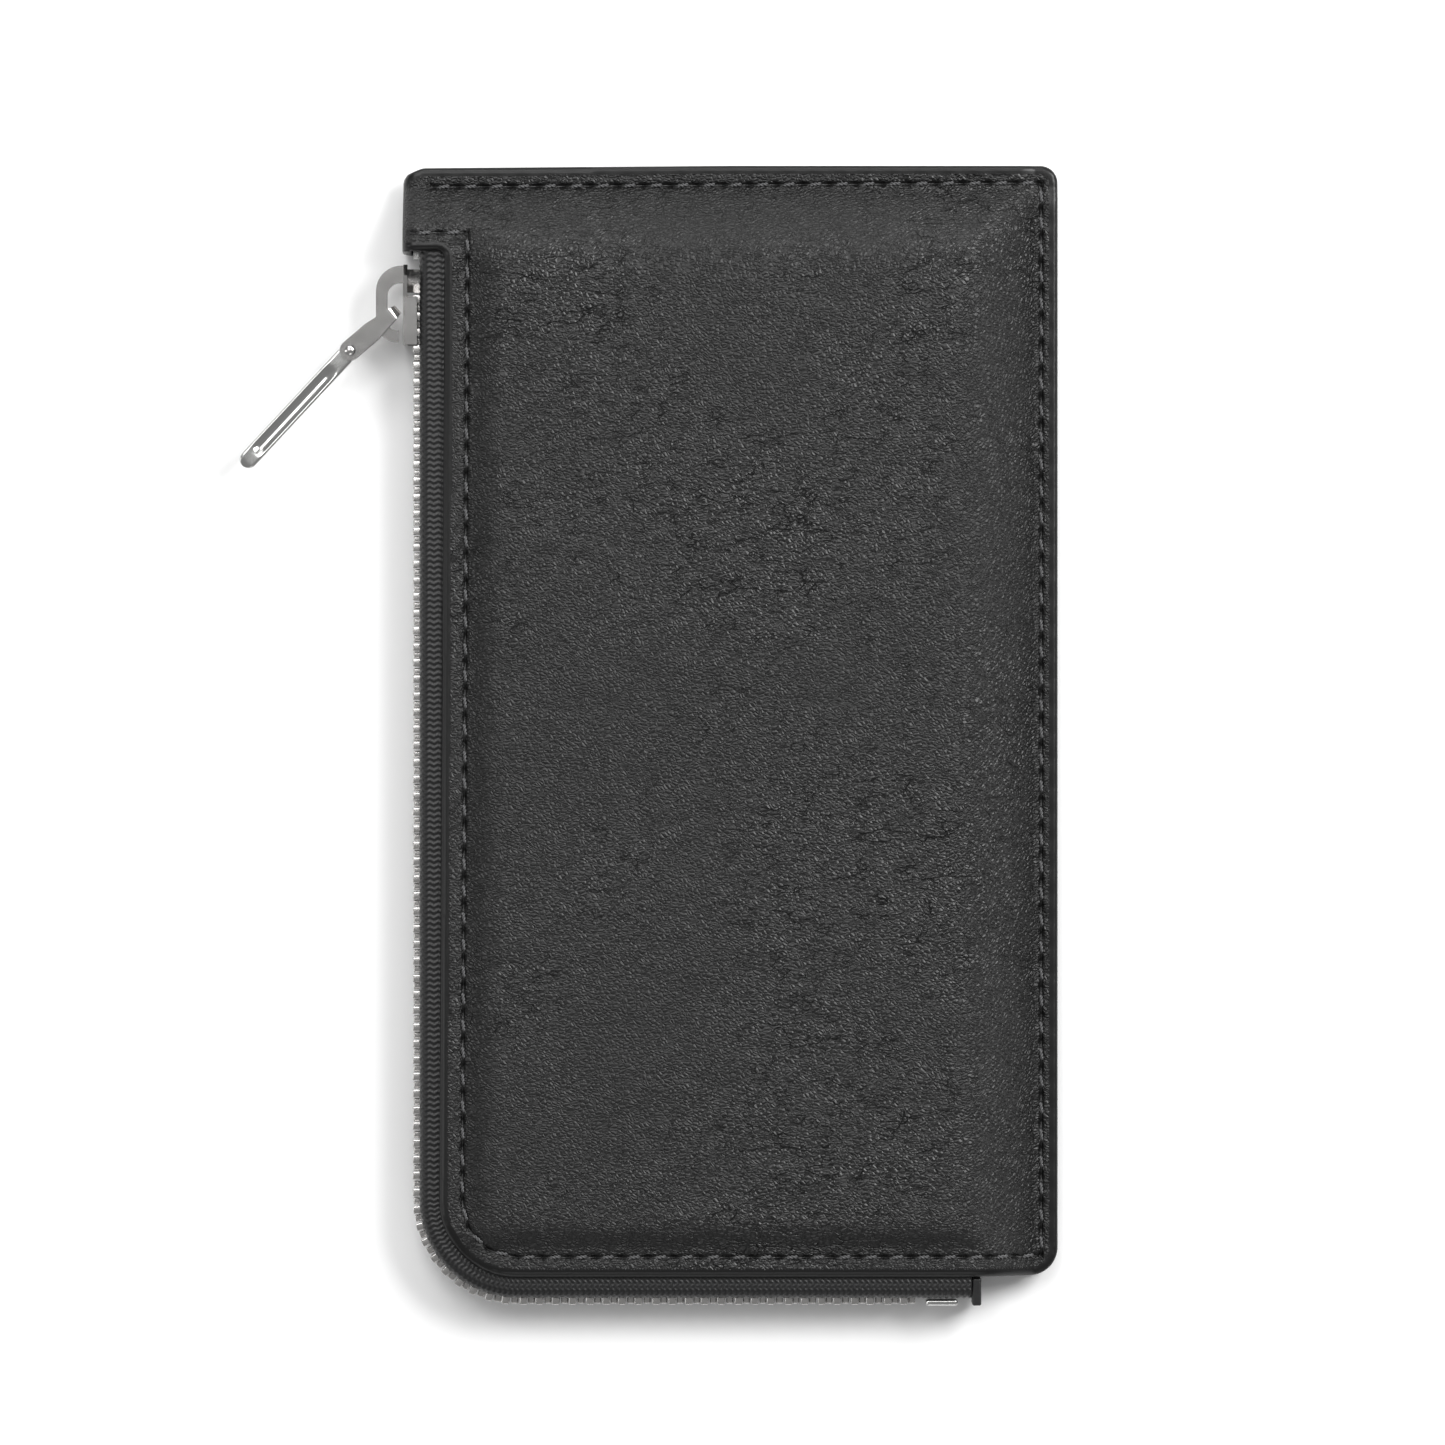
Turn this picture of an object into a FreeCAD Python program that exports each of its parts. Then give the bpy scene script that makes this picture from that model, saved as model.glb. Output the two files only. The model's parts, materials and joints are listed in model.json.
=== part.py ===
"""A long zip-round-the-corner wallet, lying on its back.

Millimetres. +X is the wallet's width, +Y its length and +Z its thickness. The origin is the
middle of the leather body, on the outer face of the back panel. The zip runs down the left
side, round the bottom left corner and along the bottom. The top and right sides are sewn shut.
"""
import FreeCAD, Part
import Sketcher
import math
import os
import re

from FreeCAD import Placement, Rotation, Vector

SIZES = {
    # leather body
    "body_width": 95.0,
    "body_length": 161.0,
    "zip_inset": 5.7,
    "wall_play": 0.35,
    "tab_length": 12.5,
    "zip_corner": 11.0,
    "heel_corner": 4.0,
    "top_corner": 2.4,
    "tab_corner": 1.5,
    "tab_overlap": 6.0,
    # heights of the front face over the back face
    "edge_height": 10.4,
    "crown_rise": 1.4,
    "border": 3.6,
    "zip_slope": 4.5,
    "seam_border": 4.0,
    "seam_slope": 9.0,
    # layers
    "leather": 1.2,
    "board": 0.5,
    "lining": 0.3,
    "leaf": 0.6,
    "pocket_leaf": 0.4,
    "tape": 0.45,
    "glue_gap": 0.04,
    "board_margin": 0.6,
    "fold_gap": 0.3,
    "fold_start_inset": 3.5,
    "fold_end_reach": 3.5,
    "fold_end_play": 1.0,
    "tape_play": 0.3,
    "least_round": 0.5,
    # card pockets
    "pocket_width": 90.0,
    "pocket_depth": 64.0,
    "pocket_step": 9.0,
    "pocket_drop": 16.0,
    "leaf_inset": 6.0,
    # stitching
    "stitch_inset": 2.6,
    "stitch_pitch": 3.9,
    "stitch_length": 2.6,
    "thread": 0.4,
    "groove_width": 1.0,
    "groove_depth": 0.5,
    "stitch_start": 1.0,
    "stitch_lift": 0.16,
    "back_stitch_lift": 0.02,
    # zip chain
    "chain_offset": 3.15,
    "tooth_pitch": 2.4,
    "tooth_width": 1.05,
    "tooth_thickness": 2.3,
    "tooth_length": 3.0,
    "tooth_mesh": 1.5,
    "tooth_bevel": 0.22,
    "tooth_slot_play": 0.06,
    "first_tooth_drop": 5.0,
    "tape_hidden": 3.4,
    "tape_bend": 0.6,
    "tape_edge_play": 0.1,
    "tape_end": 11.2,
    "zip_end": 12.5,
    "bottom_stop_length": 4.6,
    "bottom_stop_inset": 2.0,
    "bottom_stop_round": 0.35,
    "end_fold": 1.3,
    "end_fold_half": 3.6,
    "end_fold_gap": 0.3,
    "end_fold_round": 0.3,
    "top_stop_length": 1.2,
    "top_stop_height": 1.3,
    "stop_play": 0.1,
    # slider
    "slider_length": 11.6,
    "slider_gap": 1.9,
    "slider_plate": 0.6,
    "slider_channel": 3.7,
    "slider_heel": 3.0,
    "slider_nose": 3.3,
    "slider_nose_slant": 1.6,
    "slider_rim": 0.5,
    "slider_rim_length": 7.0,
    "slot_clearance": 0.22,
    "post_width": 1.4,
    "post_length": 3.4,
    "post_setback": 0.6,
    # crown loop on the slider
    "bail_reach": 4.0,
    "bail_band": 1.7,
    "bail_root": 2.6,
    "bail_height": 1.6,
    "bail_length": 11.1,
    "bail_tip_gap": 0.7,
    "bail_setback": 0.1,
    "bail_joint_gap": 0.02,
    "bail_ease": 0.3,
    "bail_tip_ease": 0.2,
    # pull
    "link_angle": 40.6,
    "link_length": 9.2,
    "link_strip": 0.5,
    "link_neck": 1.2,
    "link_end": 2.9,
    "link_play": 0.15,
    "link_taper": 0.55,
    "fold_inset": 0.8,
    "fold_drop": 6.4,
    "rivet_shaft": 1.2,
    "rivet_head": 1.7,
    "rivet_dome": 0.4,
    "pin_play": 0.1,
    "rivet_fit": 0.01,
    "eye_allowance": 1.02,
    "pull_angle": 47.1,
    "pull_length": 22.9,
    "pull_width": 2.6,
    "pull_eye_inset": 0.15,
    "pull_round_flat": 0.05,
    "scoop_start": 3.4,
    "scoop_end": 3.2,
    "scoop_depth": 0.3,
    "scoop_margin": 0.35,
}

doc = FreeCAD.newDocument("Wallet")
sheet = doc.addObject("Spreadsheet::Sheet", "Size")
for row, (name, value) in enumerate(SIZES.items(), start=1):
    sheet.set(f"A{row}", name)
    sheet.set(f"B{row}", str(value))
    sheet.setAlias(f"B{row}", name)
doc.recompute()


reader = doc.addObject("App::FeaturePython", "Reader")


def bound(text):
    """An expression in the sheet's names, as other objects have to write it."""
    return re.sub(r"[a-z][a-z_]+", lambda word: "Size." + word.group(), text)


def size(text):
    """The value of an expression in the sheet's names."""
    return float(reader.evalExpression(bound(text)))


# places named in the sheet's sizes
LEFT = "(-body_width / 2)"
RIGHT = "(body_width / 2)"
BOTTOM = "(-body_length / 2)"
TOP = "(body_length / 2)"
PANEL = f"({LEFT} + zip_inset)"
TAB = f"({TOP} - tab_length)"
STACK = "(leather + board + lining + 2 * glue_gap)"
SEAM = f"(2 * {STACK} + leaf + 2 * glue_gap)"
CROWN = "(edge_height + crown_rise)"
MIDDLE = "(edge_height / 2)"
CHAIN = f"({PANEL} - chain_offset)"
STOP_WIDTH = "(tooth_thickness - 3 * stop_play)"
TAB_LEFT = f"({CHAIN} - {STOP_WIDTH} / 2 - wall_play - leather)"
LEAF_FLOOR = f"({STACK} + glue_gap)"
POCKET_FLOOR = f"({LEAF_FLOOR} + leaf + glue_gap)"
NOSE = f"({TAB} - slider_gap)"
OUTER_PLATE = f"({CHAIN} - slider_channel / 2 - slider_plate)"
LOW = -5.0
FAR = 200.0
CUT_MARGIN = 1.0

parts = []


def keep(label, item):
    """Name a finished sub-part and list it for writing out."""
    item.Label = label
    parts.append(item)
    return item


def plane(body, role):
    """One of the body's own origin planes."""
    return next(f for f in body.Origin.OriginFeatures if f.Role == role)


def outline(body, role, corners, start):
    """A closed sketch whose corners are pairs of sheet expressions."""
    sketch = body.newObject("Sketcher::SketchObject", "Outline")
    sketch.AttachmentSupport = (plane(body, role), [""])
    sketch.MapMode = "FlatFace"
    sketch.setExpression("AttachmentOffset.Base.z", bound(start))
    points = [Vector(size(across), size(up), 0) for across, up in corners]
    count = len(points)
    for i in range(count):
        sketch.addGeometry(Part.LineSegment(points[i], points[(i + 1) % count]))
    for i, (across, up) in enumerate(corners):
        sketch.addConstraint(Sketcher.Constraint("Coincident", i, 2, (i + 1) % count, 1))
        for kind, text in (("DistanceX", across), ("DistanceY", up)):
            number = sketch.addConstraint(Sketcher.Constraint(kind, -1, 1, i, 1, size(text)))
            sketch.renameConstraint(number, f"{kind}{i}")
            sketch.setExpression(f"Constraints.{kind}{i}", bound(text))
    return sketch


def add(body, kind, role, corners, start, depth):
    """Pad or pocket an outline of the body, from start along the plane's normal."""
    sketch = outline(body, role, corners, start)
    feature = body.newObject(f"PartDesign::{kind}", kind)
    feature.Profile = sketch
    feature.setExpression("Length", bound(depth))
    body.Tip = feature
    return feature


def box_corners(left, right, bottom, top):
    """The four corners of an upright rectangle, anticlockwise from the lower left."""
    return [(left, bottom), (right, bottom), (right, top), (left, top)]


def round_corners(body, base, rounds, corners):
    """Fillet upright edges, each with its own radius: rounds maps corner number to radius."""
    for number, radius in rounds.items():
        x, y = (size(text) for text in corners[number])
        doc.recompute()
        names = []
        for i, edge in enumerate(base.Shape.Edges, start=1):
            ends = [v.Point for v in edge.Vertexes]
            if all(abs(p.x - x) < 1e-3 and abs(p.y - y) < 1e-3 for p in ends):
                names.append(f"Edge{i}")
        fillet = body.newObject("PartDesign::Fillet", "Round")
        fillet.Base = (base, names)
        fillet.setExpression("Radius", bound(radius))
        base = fillet
    body.Tip = base
    return base


def sheet_part(label, corners, floor, thickness, rounds=None):
    """A flat layer with rounded corners, lying on a height above the back face."""
    body = doc.addObject("PartDesign::Body", "Layer")
    pad = add(body, "Pad", "XY_Plane", corners, floor, thickness)
    round_corners(body, pad, rounds or {}, corners)
    return keep(label, body)


def shape_part(label, shape):
    """A sub-part whose shape is worked out from the sheet below."""
    item = doc.addObject("Part::Feature", "Shape")
    item.Shape = shape
    return keep(label, item)


def prism(points, low=LOW, high=FAR):
    """Extrude a flat outline of (x, y) points between two heights."""
    corners = [Vector(x, y, low) for x, y in points]
    face = Part.Face(Part.makePolygon(corners + corners[:1]))
    return face.extrude(Vector(0, 0, high - low))


def rounded_prism(left, right, bottom, top, radii, low=LOW, high=FAR):
    """An upright block with its own radius at each corner, anticlockwise from lower left."""
    block = Part.makeBox(right - left, top - bottom, high - low, Vector(left, bottom, low))
    spots = [(left, bottom), (right, bottom), (right, top), (left, top)]
    for (x, y), radius in zip(spots, radii):
        if radius > 0:
            edges = [
                e for e in block.Edges
                if all(abs(v.X - x) < 1e-6 and abs(v.Y - y) < 1e-6 for v in e.Vertexes)
            ]
            block = block.makeFillet(radius, edges)
    return block


# front face, as the lower of two rounded-over profiles
def profile(spots, at):
    """Height of a broken line at one place along it."""
    for (a, low), (b, high) in zip(spots, spots[1:]):
        if at <= b:
            return low + (high - low) * max(0.0, (at - a) / (b - a))
    return spots[-1][1]


def slopes(start, end):
    """The zip side rises to the crown, and the sewn side falls to the seam."""
    rise = start + size("border")
    fall = end - size("seam_border")
    return [
        (start - FAR, size("edge_height")),
        (rise, size("edge_height")),
        (rise + size("zip_slope"), size(CROWN)),
        (fall - size("seam_slope"), size(CROWN)),
        (fall, size(SEAM)),
        (end + FAR, size(SEAM)),
    ]


ACROSS = slopes(size(PANEL), size(RIGHT))
ALONG = slopes(size(BOTTOM), size(TOP))


def front_height(x, y):
    """Height of the front leather's outer face."""
    return min(profile(ACROSS, x), profile(ALONG, y))


def crown_block(drop):
    """Everything under the front face, with the face lowered by drop."""
    side = [Vector(x, -FAR, z - drop) for x, z in ACROSS]
    side += [Vector(ACROSS[-1][0], -FAR, LOW), Vector(ACROSS[0][0], -FAR, LOW)]
    end = [Vector(-FAR, y, z - drop) for y, z in ALONG]
    end += [Vector(-FAR, ALONG[-1][0], LOW), Vector(-FAR, ALONG[0][0], LOW)]
    across = Part.Face(Part.makePolygon(side + side[:1])).extrude(Vector(0, 2 * FAR, 0))
    along = Part.Face(Part.makePolygon(end + end[:1])).extrude(Vector(2 * FAR, 0, 0))
    return across.common(along)


def front_layer(block, drop, thickness):
    """A layer of even height under the front face, cut to an upright block."""
    return block.common(crown_block(drop).cut(crown_block(drop + thickness)))


# the fold line joins the two ends of the zip
FOLD_START = Vector(size(f"{TAB_LEFT} + fold_start_inset"), size(TAB), 0)
FOLD_END = Vector(size(f"{RIGHT} - zip_end + fold_end_play"), size(f"{BOTTOM} - fold_end_reach"), 0)
FOLD = (FOLD_END - FOLD_START).normalize()
FOLD_SIDE = Vector(-FOLD.y, FOLD.x, 0)


def fold_distance(x, y):
    """How far a place lies from the fold line, positive on the fixed side."""
    return (Vector(x, y, 0) - FOLD_START).dot(FOLD_SIDE)


def fold_half(sign):
    """An upright block on one side of the fold line, half the fold gap away from it."""
    near = FOLD_SIDE * (sign * size("fold_gap") / 2)
    away = FOLD_SIDE * (sign * FAR)
    ends = [FOLD_START - FOLD * FAR, FOLD_END + FOLD * FAR]
    spots = [ends[0] + near, ends[1] + near, ends[1] + away, ends[0] + away]
    return prism([(p.x, p.y) for p in spots])


def split_layer(fixed_label, moving_label, layer, tab=None, wall=None):
    """Cut a front layer along the fold line; the whole of the tab stays on the fixed piece."""
    fixed = layer.common(fold_half(1))
    moving = layer.common(fold_half(-1))
    if tab:
        fixed = fixed.fuse([layer.common(tab), wall]).removeSplitter()
        moving = moving.cut(tab)
    shape_part(fixed_label, fixed)
    shape_part(moving_label, moving)


def panel_block(inset, seam_inset):
    """The panel outline inside the zip sides by inset and inside the seams by seam_inset."""
    radii = [
        max(size("zip_corner") - inset, size("least_round")),
        max(size("heel_corner") - seam_inset, size("least_round")),
        max(size("top_corner") - seam_inset, size("least_round")),
        0,
    ]
    return rounded_prism(
        size(PANEL) + inset, size(RIGHT) - seam_inset,
        size(BOTTOM) + inset, size(TOP) - seam_inset, radii,
    )


# leather shell
back_corners = [
    (PANEL, BOTTOM), (RIGHT, BOTTOM), (RIGHT, TOP),
    (f"{TAB_LEFT} + leather + glue_gap", TOP), (f"{TAB_LEFT} + leather + glue_gap", TAB), (PANEL, TAB),
]
back = doc.addObject("PartDesign::Body", "Back")
back_pad = add(back, "Pad", "XY_Plane", back_corners, "0", "leather")
round_corners(
    back, back_pad, {0: "zip_corner", 1: "heel_corner", 2: "top_corner"}, back_corners
)
OUTER_INSET = "(stitch_inset - groove_width / 2)"
INNER_INSET = "(stitch_inset + groove_width / 2)"


def ring(inset):
    """An upright block inside the back panel's edge."""
    radii = [size(f"zip_corner - {inset}"), 0, 0, 0]
    sides = (size(f"{PANEL} + {inset}"), size(f"{RIGHT} - {inset}"))
    ends = (size(f"{BOTTOM} + {inset}"), size(f"{TOP} - {inset}"))
    return rounded_prism(*sides, *ends, radii, LOW, size("groove_depth"))


doc.recompute()
groove = doc.addObject("Part::Feature", "GrooveTool")
groove.Shape = ring(OUTER_INSET).cut(ring(INNER_INSET))
grooved = doc.addObject("Part::Cut", "GroovedBack")
grooved.Base = back
grooved.Tool = groove
keep("back_panel", grooved)

tab_front = rounded_prism(
    size(TAB_LEFT), size(f"{PANEL} + tab_overlap"), size(TAB), size(TOP),
    [size("tab_corner"), 0, 0, size("tab_corner")],
)
panel = panel_block(0, 0).fuse(tab_front)
tab_wall = tab_front.common(prism([
    (size(TAB_LEFT), size(TAB)), (size(f"{TAB_LEFT} + leather"), size(TAB)),
    (size(f"{TAB_LEFT} + leather"), size(TOP)), (size(TAB_LEFT), size(TOP)),
], 0)).common(crown_block(0))
front_leather = front_layer(panel, 0, size("leather"))
split_layer("front_panel", "front_flap", front_leather, tab_front, tab_wall)

# stiffening boards and linings
BOARD_INSET = "(tape_hidden + glue_gap + tape_play)"
sheet_part(
    "back_board",
    box_corners(f"{PANEL} + {BOARD_INSET}", f"{RIGHT} - board_margin",
                f"{BOTTOM} + {BOARD_INSET}", f"{TOP} - board_margin"),
    "leather + glue_gap", "board", {0: f"zip_corner - {BOARD_INSET}", 1: "heel_corner - board_margin"},
)
sheet_part(
    "back_lining",
    box_corners(f"{PANEL} + board", f"{RIGHT} - board", f"{BOTTOM} + board", f"{TOP} - board"),
    f"{STACK} - lining", "lining", {0: "zip_corner - board", 1: "heel_corner - board"},
)
split_layer(
    "front_board", "flap_board",
    front_layer(
        panel_block(size(BOARD_INSET), size("board_margin")), size("leather + glue_gap"), size("board")
    ),
)
split_layer(
    "front_lining", "flap_lining",
    front_layer(panel_block(size(BOARD_INSET), size("board")), size(f"{STACK} - lining"), size("lining")),
)

# divider leaf, sewn into the top and right seams, and the card pockets on it
sheet_part(
    "divider_leaf",
    box_corners(f"{PANEL} + leaf_inset", f"{RIGHT} - board_margin",
                f"{BOTTOM} + leaf_inset + board_margin", f"{TOP} - board_margin"),
    LEAF_FLOOR, "leaf", {0: "leaf_inset", 1: "heel_corner - board_margin"},
)
POCKET_RIGHT = f"({RIGHT} - seam_border - seam_slope - board_margin)"
POCKET_LOW = f"({BOTTOM} + pocket_drop)"
POCKET_COUNT = 4
for number in range(POCKET_COUNT):
    mouth = f"{POCKET_RIGHT} - pocket_depth + {number} * pocket_step"
    sheet_part(
        f"card_pocket_{number + 1}",
        box_corners(mouth, POCKET_RIGHT, POCKET_LOW, f"{POCKET_LOW} + pocket_width"),
        f"{POCKET_FLOOR} + {number} * (pocket_leaf + glue_gap)", "pocket_leaf",
    )


# zip tapes: flat under the leather, bent down beside the panel's edge into the chain
def chain_route():
    """Corner centre and radius of the chain's middle line."""
    centre = Vector(size(f"{PANEL} + zip_corner"), size(f"{BOTTOM} + zip_corner"), 0)
    radius = size("zip_corner + chain_offset")
    return centre, radius


CORNER, CHAIN_RADIUS = chain_route()
TAPE_TOP = size(f"{TOP} - tape_end")
TAPE_RIGHT = size(f"{RIGHT} - zip_end")


def tape_section(sign):
    """Half of the zip tape cut across: sign 1 is the front tape and -1 the back tape."""
    flat = size(f"{MIDDLE} - leather - glue_gap")
    thick = size("tape")
    bend = size("tape_bend")
    edge = size("tooth_mesh / 2 + tape_edge_play")
    outer = size(f"{CHAIN} - tape / 2")
    inner = size(f"{PANEL} + tape_hidden")
    middle = size(MIDDLE)
    slant = math.sqrt(0.5)

    def at(x, rise):
        return Vector(x, 0, middle + sign * rise)

    big = bend + thick
    turn = (outer + big, flat - big)
    spots = [
        Part.makeLine(at(inner, flat), at(turn[0], flat)),
        Part.Arc(
            at(turn[0], flat),
            at(turn[0] - big * slant, turn[1] + big * slant),
            at(outer, turn[1]),
        ).toShape(),
        Part.makeLine(at(outer, turn[1]), at(outer, edge)),
        Part.makeLine(at(outer, edge), at(outer + thick, edge)),
        Part.makeLine(at(outer + thick, edge), at(outer + thick, turn[1])),
        Part.Arc(
            at(outer + thick, turn[1]),
            at(turn[0] - bend * slant, turn[1] + bend * slant),
            at(turn[0], flat - thick),
        ).toShape(),
        Part.makeLine(at(turn[0], flat - thick), at(inner, flat - thick)),
        Part.makeLine(at(inner, flat - thick), at(inner, flat)),
    ]
    return Part.Face(Part.Wire(Part.__sortEdges__(spots)))


def along_zip(section):
    """Sweep a section of the left side down, round the corner and along the bottom."""
    upper = section.translated(Vector(0, CORNER.y, 0))
    side = upper.extrude(Vector(0, TAPE_TOP - CORNER.y, 0))
    bend = upper.revolve(CORNER, Vector(0, 0, 1), 90)
    lower = section.copy()
    lower.rotate(Vector(), Vector(0, 0, 1), 90)
    lower.translate(Vector(CORNER.x, CORNER.y, 0) - Vector(0, CORNER.x, 0))
    base = lower.extrude(Vector(TAPE_RIGHT - CORNER.x, 0, 0))
    return side.fuse([bend, base]).removeSplitter()


shape_part("back_tape", along_zip(tape_section(-1)))
shape_part("front_tape", along_zip(tape_section(1)))


def chain_place(distance):
    """Place and heading of a point on the chain, measured down from the slider's post."""
    down = size(f"{NOSE} - first_tooth_drop") - CORNER.y
    turn = CHAIN_RADIUS * math.pi / 2
    if distance < down:
        return CORNER + Vector(-CHAIN_RADIUS, down - distance, 0), 0.0
    if distance < down + turn:
        angle = (distance - down) / CHAIN_RADIUS
        spot = Vector(-math.cos(angle), -math.sin(angle), 0)
        return CORNER + spot * CHAIN_RADIUS, math.degrees(angle)
    return CORNER + Vector(distance - down - turn, -CHAIN_RADIUS, 0), 90.0


def tooth(sign):
    """One tooth of the left side: a bevelled block slotted over the tape's edge."""
    wide, thick, long = size("tooth_width"), size("tooth_thickness"), size("tooth_length")
    block = Part.makeBox(thick, wide, long, Vector(-thick / 2, -wide / 2, -size("tooth_mesh / 2")))
    block = block.makeChamfer(size("tooth_bevel"), block.Edges)
    slot = size("tape + 2 * glue_gap")
    floor = size("tooth_mesh / 2 + tooth_slot_play")
    block = block.cut(Part.makeBox(slot, 2 * wide, long, Vector(-slot / 2, -wide, floor)))
    if sign < 0:
        block = block.mirror(Vector(), Vector(0, 0, 1))
    return block.translated(Vector(0, 0, size(MIDDLE)))


STOP_RIGHT = f"({RIGHT} - zip_end - bottom_stop_inset)"
CHAIN_END = size(f"{STOP_RIGHT} - bottom_stop_length - stop_play")


def tooth_row(sign, first):
    """A whole row of teeth along the zip."""
    pitch = size("tooth_pitch")
    pattern = tooth(sign)
    row = []
    distance = first
    spot, heading = chain_place(distance)
    while heading < 90.0 or spot.x < CHAIN_END - size("tooth_width"):
        single = pattern.copy()
        turn = Rotation(Vector(0, 0, 1), heading)
        single.Placement = Placement(spot, turn).multiply(single.Placement)
        row.append(single)
        distance += pitch
        spot, heading = chain_place(distance)
    return Part.makeCompound(row)


shape_part("front_teeth", tooth_row(1, 0.0))
shape_part("back_teeth", tooth_row(-1, size("tooth_pitch / 2")))


# chain stops and the folded end of the tape
def solid_block(label, left, right, bottom, top, low, high, bevel):
    """A plain block with all its edges eased."""
    body = doc.addObject("PartDesign::Body", "Block")
    pad = add(body, "Pad", "XY_Plane", box_corners(left, right, bottom, top), low, f"{high} - {low}")
    doc.recompute()
    fillet = body.newObject("PartDesign::Fillet", "Ease")
    fillet.Base = (pad, [f"Edge{i + 1}" for i in range(len(pad.Shape.Edges))])
    fillet.setExpression("Radius", bound(bevel))
    body.Tip = fillet
    return keep(label, body)


CHAIN_LOW = f"({BOTTOM} - chain_offset)"
STOP_RISE = "(tooth_length - tooth_mesh / 2)"
solid_block(
    "bottom_stop", f"({STOP_RIGHT} - bottom_stop_length)", STOP_RIGHT,
    f"({CHAIN_LOW} - tooth_thickness / 2 - stop_play)", f"({CHAIN_LOW} - tape / 2 - stop_play)",
    f"({MIDDLE} - {STOP_RISE})", f"({MIDDLE} + {STOP_RISE})", "bottom_stop_round",
)
solid_block(
    "folded_tape_end", f"({RIGHT} - zip_end + stop_play)", f"({RIGHT} - zip_end + stop_play + end_fold)",
    f"({CHAIN_LOW} - tooth_thickness / 2)", f"({BOTTOM} - end_fold_gap)",
    f"({MIDDLE} - end_fold_half)", f"({MIDDLE} + end_fold_half)", "end_fold_round",
)
stops = []
for sign in (-1, 1):
    clip_size = Vector(size(STOP_WIDTH), size("top_stop_length"), size("top_stop_height"))
    clip_floor = size("tooth_mesh / 2 - 3 * stop_play")
    corner = Vector(size(CHAIN) - clip_size.x / 2, TAPE_TOP - 2 * clip_size.y, clip_floor)
    slot = size("tape + 2 * glue_gap")
    space = Vector(size(CHAIN) - slot / 2, corner.y - CUT_MARGIN, size("tooth_mesh / 2"))
    clip = Part.makeBox(*clip_size, corner).cut(Part.makeBox(slot, 2 * FAR, FAR, space))
    if sign < 0:
        clip = clip.mirror(Vector(), Vector(0, 0, 1))
    stops.append(clip.translated(Vector(0, 0, size(MIDDLE))))
shape_part("top_stops", Part.makeCompound(stops))

# slider: two plates across the chain, a post between them and rims that hold the tapes
slider = doc.addObject("PartDesign::Body", "Slider")
INNER_PLATE = f"({CHAIN} + slider_channel / 2)"
HEEL = f"({NOSE} - slider_length)"
POST_TIP = f"({NOSE} - post_setback)"
plate_corners = [
    (HEEL, f"{MIDDLE} - slider_heel"), (f"{HEEL} + slider_rim_length", f"{MIDDLE} - slider_heel"),
    (f"{NOSE} - slider_nose_slant", f"{MIDDLE} - slider_nose"),
    (NOSE, f"{MIDDLE} - slider_nose + slider_nose_slant"),
    (NOSE, f"{MIDDLE} + slider_nose - slider_nose_slant"),
    (f"{NOSE} - slider_nose_slant", f"{MIDDLE} + slider_nose"),
    (f"{HEEL} + slider_rim_length", f"{MIDDLE} + slider_heel"), (HEEL, f"{MIDDLE} + slider_heel"),
]
post_corners = [
    (POST_TIP, MIDDLE), (f"{POST_TIP} - post_length / 2", f"{MIDDLE} + post_width / 2"),
    (f"{POST_TIP} - post_length", MIDDLE),
    (f"{POST_TIP} - post_length / 2", f"{MIDDLE} - post_width / 2"),
]
add(slider, "Pad", "YZ_Plane", plate_corners, OUTER_PLATE, "slider_plate")
add(
    slider, "Pad", "YZ_Plane", post_corners,
    f"{OUTER_PLATE} + slider_plate / 2", "slider_channel + slider_plate",
)
add(slider, "Pad", "YZ_Plane", plate_corners, INNER_PLATE, "slider_plate")
RIM_DEPTH = "((slider_channel - tape) / 2 - slot_clearance)"
for side in ("-", "+"):
    low = f"{MIDDLE} {side} slider_heel"
    high = f"{MIDDLE} {side} (slider_heel - slider_rim)"
    ends = box_corners(HEEL, f"{HEEL} + slider_rim_length", low, high)
    for start in (f"{OUTER_PLATE} + slider_plate / 2", f"{INNER_PLATE} - {RIM_DEPTH}"):
        add(slider, "Pad", "YZ_Plane", ends, start, f"{RIM_DEPTH} + slider_plate / 2")
keep("slider_body", slider)

# crown loop: a flat hook that stands out from the outer plate, with a free lower tip
BAIL_TOP = f"({NOSE} - bail_setback)"
BAIL_LOW = f"({BAIL_TOP} - bail_length)"
BAIL_OUT = f"({OUTER_PLATE} - bail_reach)"
BAIL_JOINT = f"({OUTER_PLATE} - bail_joint_gap)"
bail_corners = [
    (BAIL_JOINT, BAIL_TOP), (BAIL_OUT, BAIL_TOP), (BAIL_OUT, BAIL_LOW),
    (f"{OUTER_PLATE} - bail_tip_gap", BAIL_LOW),
    (f"{OUTER_PLATE} - bail_tip_gap", f"{BAIL_LOW} + bail_band"),
    (f"{BAIL_OUT} + bail_band", f"{BAIL_LOW} + bail_band"),
    (f"{BAIL_OUT} + bail_band", f"{BAIL_TOP} - bail_root"), (BAIL_JOINT, f"{BAIL_TOP} - bail_root"),
]
bail = doc.addObject("PartDesign::Body", "Bail")
bail_pad = add(bail, "Pad", "XY_Plane", bail_corners, f"{MIDDLE} - bail_height / 2", "bail_height")
round_corners(
    bail, bail_pad,
    {
        1: "bail_reach - bail_ease", 2: "bail_reach - bail_tip_gap - bail_tip_ease",
        5: "bail_band - bail_ease", 6: "bail_band",
    },
    bail_corners,
)
keep("slider_loop", bail)

# pull: a strip folded through the loop, riveted over a slim bar; both are modelled along -X
FOLD_SPOT = Vector(size(f"{OUTER_PLATE} - fold_inset"), size(f"{NOSE} - fold_drop"), size(MIDDLE))
LINK_TURN = Rotation(Vector(0, 0, 1), size("link_angle"))
PIN = FOLD_SPOT + LINK_TURN.multVec(Vector(-size("link_length"), 0, 0))
LINK_INNER = size("bail_height / 2 + link_play")


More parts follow.
